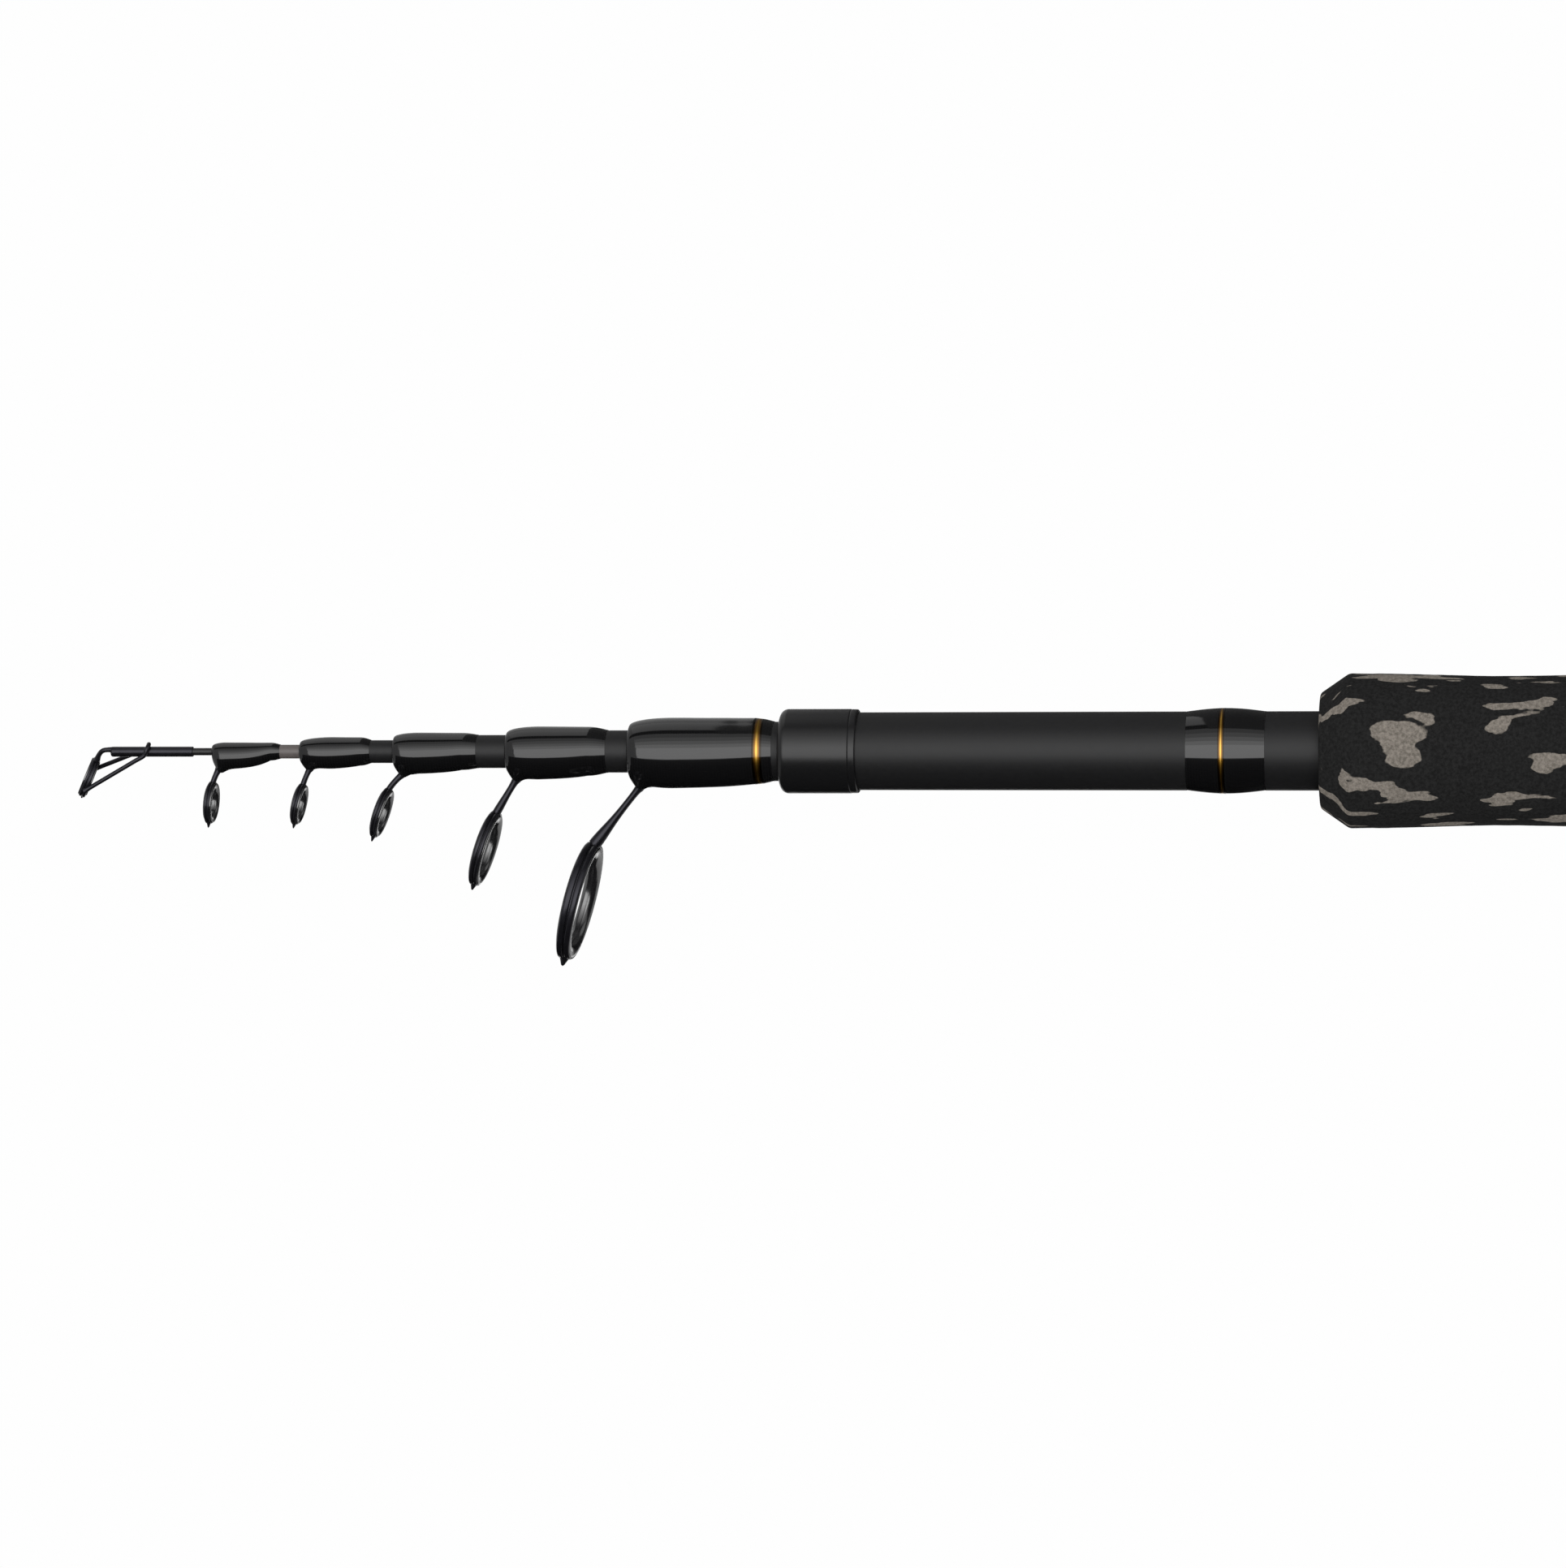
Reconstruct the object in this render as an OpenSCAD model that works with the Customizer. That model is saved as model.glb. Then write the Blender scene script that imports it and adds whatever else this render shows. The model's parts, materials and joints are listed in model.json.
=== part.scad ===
// Telescopic spinning rod of seven nested sections, shown pushed together.
// The rod lies along X with its tip towards -X and its line guides hanging towards -Z.
// Stations are millimetres behind the mouth of the butt section, so what stands ahead of it is negative.

/* [Nested sections] */
// Diameter of the solid tip section at its front end
tip_d = 1.63; // [1.3:0.01:2.2]
// Growth in diameter from front to rear of sections 1 to 7, tip section first
section_rise = [0.45, 0.70, 1.05, 0.55, 2.10, 2.00, 0.95]; // [0.3:0.05:2.5]
// Wall of sections 2 to 7
section_wall = [0.46, 0.63, 0.61, 0.68, 0.88, 1.12]; // [0.4:0.01:1.4]
// Length of sections 1 to 6 that stays in the next one when drawn out
section_overlap = [45, 50, 55, 60, 65, 70]; // [30:1:90]
// Radial gap of a drawn-out taper joint
lock_gap = 0.05; // [0.03:0.01:0.1]
// Gap between the sections' rear ends and the damper that they rest on
rest_gap = 0.2; // [0.1:0.05:0.3]

/* [Guide wraps] */
// Length of the lacquered wraps at the front of sections 2 to 6
wrap_l = [15.4, 15.9, 18.8, 22.5, 32.1]; // [12:0.1:40]
// Build-up of those wraps over the blank at the crown
wrap_h = [0.46, 0.63, 0.47, 0.81, 0.84]; // [0.3:0.01:1.2]
// Extra depth of those wraps under the front, over the guide's foot
wrap_belly = [1.85, 0.70, 0.80, 0.75, 0.80]; // [0.7:0.05:2.2]
// Length of the rounded front end of those wraps
wrap_dome_l = [3.0, 7.5, 5.6, 7.2, 9.6]; // [2.5:0.1:10]
// Length of the tails that run down onto the blanks behind those wraps
wrap_tail_l = [2.2, 2.4, 3.6, 4.4, 4.4]; // [2:0.1:6]
// Share of the build-up that is left where the tail starts
wrap_shoulder = 0.9; // [0.7:0.05:0.95]
// Lacquer lip that closes the end of the blank at each mouth
wrap_lip_l = 1.5; // [1:0.1:2]
// Width of that lip's front edge
wrap_edge_w = 0.2; // [0.1:0.05:0.4]
// Bare blank between the wraps of sections 1 to 6 and the next mouth when pushed together
bare_gap = [4.43, 4.6, 5.31, 6.56, 4.99, 1.44]; // [1:0.01:12]
// Width of the metallic thread band on section 6
guide_band_w = 2.1; // [1.5:0.1:3]
// Distance of that band's middle from the rear end of its wrap
guide_band_inset = 3.1; // [3:0.1:8]
// Depth of the metallic thread bands
band_t = 0.2; // [0.15:0.05:0.3]

/* [Line guides] */
// Outer radius of the ring frames on sections 2 to 6
ring_r = [4.78, 4.70, 5.80, 8.60, 13.30]; // [4:0.05:15]
// Radial width of those ring frames
ring_rim_w = [0.55, 0.55, 0.65, 0.85, 1.10]; // [0.5:0.05:1.5]
// Axial length of those ring frames
ring_frame_l = [1.1, 1.1, 1.2, 1.7, 2.6]; // [1.1:0.1:3]
// Clear radius of the ceramic rings
ring_bore_r = [2.9, 2.9, 3.7, 5.9, 9.7]; // [2.5:0.1:10.5]
// Depth of the ring centres under the rod's axis
ring_drop = [11.3, 11.6, 13.5, 21.4, 32.95]; // [10:0.1:40]
// How far the ring centres stand ahead of the wraps' front ends
ring_ahead = [0.46, 0.55, 3.1, 5.1, 11.5]; // [0:0.1:20]
// Lean of the rings, lower edge towards the tip
ring_lean = [5.5, 12.2, 18.2, 17.3, 14.4]; // [0:0.5:25]
// Where the legs leave the wraps, behind the wraps' front ends
leg_root = [2.4, 2.3, 2.6, 2.7, 2.9]; // [1:0.1:5]
// Thickness of the legs at the rings
leg_t = [1.05, 1.05, 1.2, 1.3, 1.4]; // [0.6:0.05:1.6]
// Width of the legs and feet
leg_w = [1.3, 1.3, 1.5, 1.9, 2.5]; // [1:0.1:3]
// Thickness of the feet under the wraps
foot_t = [0.5, 0.5, 0.5, 0.55, 0.65]; // [0.4:0.05:0.8]
// Length of the feet under the wraps
foot_l = [8, 9, 11, 14, 20]; // [6:0.5:24]
// Length of the bend between foot and leg
leg_bend_l = 2.0; // [1:0.1:3]
// Straight land in the ceramic rings' bores
ring_land_l = 0.6; // [0.4:0.1:1]
// Thickness of the ceramic rings' flanges
ring_flange_t = 0.5; // [0.4:0.1:0.8]
// Height of the stamping's nub under each ring frame
nub_h = [0.9, 0.9, 1.0, 1.1, 1.6]; // [0.4:0.1:2]

/* [Tip top] */
// Length of the tip tube
tip_tube_l = 18.7; // [12:0.1:25]
// Wall of the tip tube
tip_tube_wall = 0.28; // [0.2:0.01:0.4]
// Solid nose at the front of the tip tube
tip_nose_l = 1.5; // [1:0.1:3]
// Outer radius of the tip ring's frame
tip_ring_r = 4.75; // [4:0.05:6]
// Radial width of the tip ring's frame
tip_rim_w = 0.6; // [0.5:0.05:0.9]
// Axial length of the tip ring's frame
tip_frame_l = 1.3; // [1.1:0.1:2]
// Clear radius of the tip ring
tip_bore_r = 2.9; // [2.5:0.1:3.4]
// Distance of the tip ring's centre from the axis
tip_drop = 6.6; // [6:0.1:8]
// How far the tip ring's centre stands ahead of the tube
tip_ahead = 5.7; // [5:0.05:8]
// Lean of the tip ring
tip_lean = 26; // [20:0.1:30]
// How far the tip section is turned round its axis, so that its ring hangs to one side
tip_roll = 30; // [0:1:45]
// Height of the nub under the tip ring's frame
tip_nub_h = 1.2; // [0.4:0.1:2]
// Radius of the tip frame's wires
tip_wire_r = 0.5; // [0.35:0.05:0.6]
// Where the long wires cross over the tube, behind its front end
tip_saddle_back = 8.3; // [6:0.1:12]
// Place of the long wires' ends round the tip ring, from its lowest point
tip_leg_angle = 80; // [60:1:90]

/* [Butt section] */
// Length of the cap round the mouth of the butt section
mouth_cap_l = 17.25; // [12:0.05:25]
// Wall of the mouth cap
mouth_cap_wall = 0.72; // [0.5:0.01:1.2]
// Thickness of the mouth cap's front lip
mouth_lip_l = 2.0; // [1.5:0.1:3]
// Rounding of the mouth cap's front edge
mouth_round = 1.8; // [1:0.1:1.9]
// Bare blank between the mouth cap and the butt wrap
bare_front_l = 72.1; // [40:0.1:120]
// Length of the butt wrap
butt_wrap_l = 17.1; // [12:0.1:25]
// Build-up of the butt wrap at its middle
butt_wrap_h = 0.72; // [0.5:0.01:1]
// Width of the metallic thread band in the butt wrap
butt_band_w = 1.4; // [1:0.1:2.5]
// Distance of that band's middle from the butt wrap's front end
butt_band_at = 7.7; // [5:0.1:9]
// Bare blank between the butt wrap and the fore grip
bare_rear_l = 11.8; // [6:0.1:20]

/* [Grips] */
// Length of the fore grip
fore_grip_l = 80; // [60:1:120]
// Diameter of the fore grip at its shoulders
fore_grip_d = 33.7; // [31:0.1:38]
// Diameter of the fore grip's front face
fore_face_d = 25; // [23:0.1:28]
// Length of the fore grip's front chamfer
fore_chamfer_l = 6.3; // [4:0.1:9]
// Depth of the fore grip's waist
fore_waist = 0.68; // [0.3:0.01:1.5]
// Length of the rear grip
rear_grip_l = 142; // [110:1:180]
// Diameter of the rear grip's straight stretch
rear_grip_d = 31; // [30.5:0.1:36]
// Length of the rear grip's tapered front end
rear_taper_l = 14; // [10:0.5:20]
// Rounding at the rear ends of both grips
grip_round = 3; // [2:0.1:4]

/* [Reel seat] */
// Length of the reel seat's barrel
seat_l = 116; // [110:1:140]
// Outer radius of the barrel, which is the bed of the reel's foot
seat_r = 12.0; // [11.8:0.1:13]
// Wall of the barrel
seat_wall = 1.8; // [1.5:0.1:2]
// Length of each of the two arbors that centre the barrel on the blank
arbor_l = 22; // [15:1:30]
// Thickness of the trim rings at both ends of the seat
trim_l = 2.0; // [1.5:0.1:3]
// Outer radius of the trim rings
trim_r = 14.4; // [14:0.1:15]
// Pitch of the seat's thread
seat_pitch = 3.0; // [2.5:0.1:3.5]
// Length of the seat's thread
seat_thread_l = 40; // [36:1:44]
// Depth of the seat's thread
thread_h = 0.7; // [0.5:0.05:0.8]
// Width of a thread's crest
crest_w = 0.8; // [0.6:0.05:0.9]
// Width of a thread's foot
root_w = 1.1; // [1:0.05:1.2]
// Clearance of threads and sliding pieces
run_gap = 0.15; // [0.1:0.01:0.2]
// Length of the lock nut
nut_l = 13; // [11:0.5:14]
// Wall of the lock nut outside its thread
nut_wall = 2.6; // [2.2:0.1:3]
// Number of finger flutes round the nut
nut_flutes = 24; // [16:1:30]
// Radius of the finger flutes
flute_r = 0.9; // [0.6:0.1:1]
// Length of each hood
hood_l = 23; // [20:0.5:26]
// Wall of each hood
hood_wall = 2.2; // [1.8:0.1:2.6]
// Depth of the pocket for the reel foot's end
pocket_l = 15; // [12:0.5:17]
// Height of that pocket over the thread's crest
pocket_h = 5.2; // [4.8:0.1:6]
// Width of that pocket
pocket_w = 16; // [14:0.5:18]
// Wall round that pocket
pocket_wall = 1.5; // [1.2:0.1:2]
// Travel of the sliding hood and its nut
hood_travel = 21; // [15:1:22]
// Width of the key that stops the hood from turning
key_w = 3.6; // [3:0.1:5]
// Depth of the keyway under the bed
key_depth = 0.6; // [0.4:0.1:0.8]

/* [Butt end] */
// Length of blank that the butt ferrule is glued over
ferrule_glue_l = 12; // [9:0.5:16]
// Length of the ferrule behind the blank, which holds the thread
ferrule_thread_l = 12; // [10:0.5:16]
// Outer radius of the ferrule and the plug's head
ferrule_r = 13.8; // [13:0.1:15]
// Pitch of the plug's thread
plug_pitch = 2.5; // [2.4:0.1:3]
// Core radius of the plug's thread
plug_core_r = 8.1; // [8:0.05:8.5]
// Depth of the damper's face inside the blank's rear end
plug_reach = 10; // [8:0.5:14]
// Thickness of the damper
damper_l = 5; // [3:0.5:6]
// Radial gap between the damper or the plug's nose and the blank's bore
damper_gap = 0.3; // [0.2:0.05:0.5]
// Thickness of the plug's head
plug_head_l = 6; // [5:0.5:9]
// Number of finger flutes round the plug's head
plug_flutes = 20; // [14:1:26]
// Thickness of the rubber bumper on the plug's head
bumper_l = 4; // [3:0.5:6]
// Depth that the bumper's spigot goes into the plug's head
spigot_l = 3; // [2:0.5:4]
// Radius of the bumper's spigot
spigot_r = 6; // [4:0.5:8]
// Rounding of the bumper's edge
bumper_round = 2; // [1:0.1:2.5]
// Thickness of the sealing ring under the plug's head
seal_d = 1.6; // [1.2:0.1:2]

/* [Hidden] */
$fn = 96;
// Film of glue between pieces that are bonded to each other
glue = 0.03;
SECTIONS = len(section_rise);
BUTT = SECTIONS - 1;
DOME_STEPS = 5;
BODY_STEPS = 4;
TAIL_STEPS = 4;
WRAP_SIDES = 32;
// How late the depth under a wrap falls off towards its tail
BELLY_FALL = 3.5;
WAIST_STEPS = 14;
BEND_STEPS = 5;
ROUND_STEPS = 5;
THREAD_STEPS = 20;
INSERT_STEPS = 6;

// Stations of the handle, one piece after the other
butt_wrap_s = mouth_cap_l + bare_front_l;
fore_grip_s = butt_wrap_s + butt_wrap_l + bare_rear_l;
front_trim_s = fore_grip_s + fore_grip_l;
seat_s = front_trim_s + trim_l;
rear_trim_s = seat_s + seat_l;
rear_grip_s = rear_trim_s + trim_l;
ferrule_s = rear_grip_s + rear_grip_l;
blank_rear_s = ferrule_s + ferrule_glue_l;
ferrule_rear_s = blank_rear_s + ferrule_thread_l;
damper_s = blank_rear_s - plug_reach;
nose_s = damper_s + damper_l;
plug_head_s = ferrule_rear_s + rest_gap;
bumper_s = plug_head_s + plug_head_l;
rod_rear_s = bumper_s + bumper_l;
// The origin is on the rod's axis in the middle of the rear grip's straight stretch
straight_l = rear_grip_l - rear_taper_l - grip_round;
origin_s = rear_grip_s + rear_taper_l + straight_l / 2;

// Nesting: section i of 0 (tip) to 6 (butt); all rear ends rest on the damper
section_rear_s = damper_s - rest_gap;
function wrap_s(i) = (i == BUTT - 1 ? 0 : wrap_s(i + 1)) - bare_gap[i] - wrap_l[i - 1];
tube_rear_s = wrap_s(1) - bare_gap[0];
tube_s = tube_rear_s - tip_tube_l;
function front_s(i) =
    i == BUTT ? mouth_lip_l : i == 0 ? tube_s + tip_nose_l : wrap_s(i) + wrap_lip_l;
function rear_s(i) = i == BUTT ? blank_rear_s : section_rear_s;
function length_of(i) = rear_s(i) - front_s(i);
function slope(i) = section_rise[i] / 2 / length_of(i);
// Outer radii at both ends, the bore where the next section locks, and the bore at the mouth
function front_r(i) = i == 0 ? tip_d / 2 : mouth_r(i) + section_wall[i - 1];
function rear_r(i) = front_r(i) + section_rise[i] / 2;
function lock_r(i) = rear_r(i - 1) + lock_gap;
function mouth_r(i) = lock_r(i) - slope(i - 1) * section_overlap[i - 1];
function bore_rear_r(i) = rear_r(i) - section_wall[i - 1];
function outer_r(i, s) = front_r(i) + slope(i) * (s - front_s(i));
seat_bore_r = seat_r - seat_wall;
crest_r = seat_r + thread_h;
hood_bore_r = crest_r + run_gap;
hood_r = hood_bore_r + hood_wall;
pocket_floor = crest_r + pocket_h;
hood_s = seat_s + trim_l + nut_l + run_gap;
nut_s = hood_s - run_gap - nut_l;
fixed_hood_s = rear_trim_s - hood_l;
plug_crest_r = plug_core_r + thread_h;
plug_bore_r = plug_crest_r + run_gap;
nose_r = bore_rear_r(BUTT) - slope(BUTT) * plug_reach - damper_gap;

// Puts a child at a station: its Z runs rearward along the rod and its X runs down
module along(s) translate([s - origin_s, 0, 0]) rotate([0, 90, 0]) children();

// A turned piece from [radius, distance behind the station] points
module turned(s, pts) along(s) rotate_extrude() polygon(pts);

// Points of a quarter ellipse from a start to an end; the curve leaves the start along r
function quarter(r0, z0, r1, z1, n) =
    [for (k = [0:n]) [r0 + (r1 - r0) * sin(90 * k / n), z1 + (z0 - z1) * cos(90 * k / n)]];

// A thin-walled tapered section with a matching taper lock inside its mouth
module blank(i) turned(front_s(i), [
    [mouth_r(i), 0],
    [front_r(i), 0],
    [rear_r(i), length_of(i)],
    [bore_rear_r(i), length_of(i)],
    [lock_r(i), section_overlap[i - 1]],
]);

// The space that a section's blank takes, with a film of glue round it
module blank_space(i, s, l, film = glue) along(s)
    cylinder(h = l, r1 = outer_r(i, s) + film, r2 = outer_r(i, s + l) + film);

// Radius of a lacquered wrap at a distance behind its front: round front, crown, shoulder and tail
function dome(z, l) = z < l ? sqrt(1 - pow(1 - z / l, 2)) : 1;
function wrap_base(i) = outer_r(i, wrap_s(i) + wrap_l[i - 1]) + 2 * glue;
function wrap_r(i, z) =
    let (j = i - 1, base = wrap_base(i), edge = mouth_r(i) + wrap_edge_w, crown = base + wrap_h[j])
    let (shoulder = base + wrap_h[j] * wrap_shoulder, body = wrap_dome_l[j], tail = wrap_l[j] - wrap_tail_l[j])
    z < body ? edge + (crown - edge) * dome(z, body)
    : z < tail ? crown + (shoulder - crown) * (z - body) / (tail - body)
    : base + (shoulder - base) * cos(90 * (z - tail) / wrap_tail_l[j]);
// Extra depth under the guide's foot, gone where the tail starts
function belly(i, z) =
    let (tail = wrap_l[i - 1] - wrap_tail_l[i - 1])
    z < tail ? wrap_belly[i - 1] * (1 - pow(z / tail, BELLY_FALL)) * dome(z, wrap_dome_l[i - 1]) : 0;
function wrap_stations(j) =
    let (body = wrap_dome_l[j], tail = wrap_l[j] - wrap_tail_l[j])
    concat(
        [for (k = [0:DOME_STEPS]) body * (1 - cos(90 * k / DOME_STEPS))],
        [for (k = [1:BODY_STEPS - 1]) body + (tail - body) * k / BODY_STEPS],
        [for (k = [0:TAIL_STEPS]) tail + wrap_tail_l[j] * k / TAIL_STEPS]
    );
// The wrap's body before it is bored, as rings of points round the axis from front to rear
module wrap_body(i) {
    zs = wrap_stations(i - 1);
    n = len(zs);
    pts = concat(
        [for (z = zs) for (m = [0:WRAP_SIDES - 1])
            let (a = 360 * m / WRAP_SIDES, r = wrap_r(i, z) + belly(i, z) * pow((1 + cos(a)) / 2, 2))
            [r * cos(a), r * sin(a), z]],
        [[0, 0, 0], [0, 0, wrap_l[i - 1]]]
    );
    skin = [for (k = [0:n - 2]) for (m = [0:WRAP_SIDES - 1])
        let (a = k * WRAP_SIDES + m, b = k * WRAP_SIDES + (m + 1) % WRAP_SIDES)
        each [[a, a + WRAP_SIDES, b], [b, a + WRAP_SIDES, b + WRAP_SIDES]]];
    ends = [for (m = [0:WRAP_SIDES - 1])
        let (q = (m + 1) % WRAP_SIDES, last = (n - 1) * WRAP_SIDES)
        each [[n * WRAP_SIDES, m, q], [n * WRAP_SIDES + 1, last + q, last + m]]];
    along(wrap_s(i)) polyhedron(points = pts, faces = concat(skin, ends));
}

module guide_wrap(i) difference() {
    wrap_body(i);
    blank_space(i, front_s(i), wrap_l[i - 1]);
    along(wrap_s(i) - 1) cylinder(h = wrap_lip_l + 1 + glue, r = mouth_r(i) + lock_gap);
    guide_leg(i, glue);
}

// Middle of the foot, as depth under the axis
function foot_depth(i) =
    outer_r(i, wrap_s(i) + leg_root[i - 1] + foot_l[i - 1]) + 2 * glue + foot_t[i - 1] / 2;
// Middle line of foot, bend and leg as [depth, distance behind the wrap's front, thickness]
function leg_path(i) =
    let (j = i - 1, d = foot_depth(i), t0 = foot_t[j], t1 = leg_t[j])
    let (reach = ring_r[j] - ring_rim_w[j] / 2)
    let (top = [ring_drop[j] - reach * cos(ring_lean[j]), reach * sin(ring_lean[j]) - ring_ahead[j]])
    let (corner = [d, leg_root[j]], dir = (top - corner) / norm(top - corner))
    let (b0 = corner + [0, leg_bend_l], b1 = corner + dir * leg_bend_l)
    concat(
        [[d, leg_root[j] + foot_l[j], t0]],
        [for (k = [0:BEND_STEPS])
            let (u = k / BEND_STEPS, p = b0 * (1 - u) * (1 - u) + corner * 2 * u * (1 - u) + b1 * u * u)
            [p[0], p[1], t0 + (t1 - t0) * u]],
        [[top[0], top[1], t1]]
    );
// Offsets a middle line to both sides by half its thickness
function side_of(p, k, side, film) =
    let (a = p[max(k - 1, 0)], b = p[min(k + 1, len(p) - 1)], d = [b[0] - a[0], b[1] - a[1]])
    let (w = side * (p[k][2] / 2 + film) / norm(d))
    [p[k][0] - d[1] * w, p[k][1] + d[0] * w];
function ribbon(p, film) = concat(
    [for (k = [0:len(p) - 1]) side_of(p, k, 1, film)],
    [for (k = [len(p) - 1:-1:0]) side_of(p, k, -1, film)]
);
module guide_leg(i, film = 0) along(wrap_s(i)) rotate([90, 0, 0])
    linear_extrude(leg_w[i - 1] + 2 * film, center = true) polygon(ribbon(leg_path(i), film));

// Puts a child on a ring's axis: Z points rearward and down, X down the ring's face
module at_ring(i) along(wrap_s(i)) translate([ring_drop[i - 1], 0, -ring_ahead[i - 1]])
    rotate([0, ring_lean[i - 1], 0]) children();

// A rounded hoop and the nub that the stamping leaves under it
module hoop(r, rim, l, nub) {
    c = rim * 0.35;
    rotate_extrude() polygon([
        [r - rim, -l / 2], [r - c, -l / 2], [r, -l / 2 + c], [r, l / 2 - c], [r - c, l / 2], [r - rim, l / 2],
    ]);
    translate([r - rim / 2, 0, 0]) rotate([0, 90, 0]) cylinder(h = rim / 2 + nub, r1 = l * 0.45, r2 = l * 0.2);
}

// A ceramic ring: seat inside the hoop, flange on the reel side, rounded bore with a short land.
// The tip ring's flange faces forward instead, clear of the wires
function flange_r(seat, rim) = seat + rim * 0.4;
module insert(seat, rim, bore, l) {
    front = -l / 2 - ring_flange_t / 2;
    rear = l / 2 + glue + ring_flange_t;
    land = ring_land_l / 2;
    lip = (seat - bore) * 0.25;
    a = seat - glue - lip - bore;
    b = flange_r(seat, rim) - lip - bore;
    rotate_extrude() polygon(concat(
        [[seat - glue, l / 2 + glue], [seat - glue, front]],
        [for (k = [INSERT_STEPS:-1:0])
            [bore + a * (1 - cos(90 * k / INSERT_STEPS)), -land + (front + land) * sin(90 * k / INSERT_STEPS)]],
        [for (k = [0:INSERT_STEPS])
            [bore + b * (1 - cos(90 * k / INSERT_STEPS)), land + (rear - land) * sin(90 * k / INSERT_STEPS)]],
        [[flange_r(seat, rim), rear - lip / 2], [flange_r(seat, rim), l / 2 + glue]]
    ));
}
// The space that a ceramic ring takes out of its frame
module insert_space(seat, rim, l) {
    cylinder(h = 2 * l, r = seat, center = true);
    translate([0, 0, l / 2]) cylinder(h = l, r = flange_r(seat, rim) + glue);
}

function ring_seat(i) = ring_r[i - 1] - ring_rim_w[i - 1];
module guide_frame(i) {
    j = i - 1;
    difference() {
        union() {
            guide_leg(i);
            at_ring(i) hoop(ring_r[j], ring_rim_w[j], ring_frame_l[j], nub_h[j]);
        }
        at_ring(i) insert_space(ring_seat(i), ring_rim_w[j], ring_frame_l[j]);
    }
}
module guide_ring(i) at_ring(i)
    insert(ring_seat(i), ring_rim_w[i - 1], ring_bore_r[i - 1], ring_frame_l[i - 1]);

// A metallic band let into the surface of a wrap: the wrap's own skin between two stations
module band_slot(s, w, r) difference() {
    along(s - w / 2) cylinder(h = w, r = 2 * r);
    along(s - w) cylinder(h = 2 * w, r = r);
}
guide_band_s = -bare_gap[BUTT - 1] - guide_band_inset;
function guide_band_skin(side) = wrap_r(BUTT - 1, wrap_l[BUTT - 2] - guide_band_inset + side * guide_band_w / 2);
guide_band_r = guide_band_skin(1) - band_t;

module section_6_blank() color("#1c1c1e") blank(5);
module section_6_wrap() color("#0b0b0d") difference() {
    guide_wrap(5);
    band_slot(guide_band_s, guide_band_w, guide_band_r);
}
module section_6_band() color("#c79a3b") turned(guide_band_s, [
    [guide_band_r + glue, glue - guide_band_w / 2],
    [guide_band_skin(-1), glue - guide_band_w / 2],
    [guide_band_skin(1), guide_band_w / 2 - glue],
    [guide_band_r + glue, guide_band_w / 2 - glue],
]);
module section_6_guide() color("#1d1b22") guide_frame(5);
module section_6_ring() color("#3a3a3c") guide_ring(5);
module section_5_blank() color("#1c1c1e") blank(4);
module section_5_wrap() color("#0b0b0d") guide_wrap(4);
module section_5_guide() color("#1d1b22") guide_frame(4);
module section_5_ring() color("#3a3a3c") guide_ring(4);
module section_4_blank() color("#1c1c1e") blank(3);
module section_4_wrap() color("#0b0b0d") guide_wrap(3);
module section_4_guide() color("#1d1b22") guide_frame(3);
module section_4_ring() color("#3a3a3c") guide_ring(3);
module section_3_blank() color("#1c1c1e") blank(2);
module section_3_wrap() color("#0b0b0d") guide_wrap(2);
module section_3_guide() color("#1d1b22") guide_frame(2);
module section_3_ring() color("#3a3a3c") guide_ring(2);
module section_2_blank() color("#55504f") blank(1);
module section_2_wrap() color("#0b0b0d") guide_wrap(1);
module section_2_guide() color("#1d1b22") guide_frame(1);
module section_2_ring() color("#3a3a3c") guide_ring(1);
module section_1_blank() color("#2a2827") along(front_s(0))
    cylinder(h = length_of(0), r1 = front_r(0), r2 = rear_r(0));

// Tip top: a tube glued over the tip, and a wire frame that holds the tip ring under it
tube_r = outer_r(0, tube_rear_s) + glue + tip_tube_wall;
bead_swell = 1.12;
tip_seat = tip_ring_r - tip_rim_w;
module tip_tube_solid(film = 0) turned(tube_s, concat(
    [[0, -film]],
    quarter(tube_r / 2, -film, tube_r + film, tube_r / 2, ROUND_STEPS),
    [[tube_r + film, tip_tube_l], [0, tip_tube_l]]
));
module tip_top_tube() color("#17171a") difference() {
    tip_tube_solid();
    blank_space(0, front_s(0) - glue, tip_tube_l);
}
// A straight wire with a bead of solder at each end
module wire(p, q, r, $fn = 32) {
    d = q - p;
    translate(p) rotate([0, acos(d[2] / norm(d)), atan2(d[1], d[0])]) cylinder(h = norm(d), r = r);
    for (end = [p, q]) translate(end) sphere(r * bead_swell);
}
// A point on the outside of the tip ring's frame, at an angle from its lowest point towards one side
function tip_ring_point(angle, side) =
    let (r = tip_ring_r + tip_wire_r / 2, down = r * cos(angle))
    [tip_drop + down * cos(tip_lean), side * r * sin(angle), -tip_ahead - down * sin(tip_lean)];
module at_tip() along(tube_s) rotate([0, 0, tip_roll]) children();
module at_tip_ring() at_tip() translate([tip_drop, 0, -tip_ahead]) rotate([0, tip_lean, 0]) children();
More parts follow.
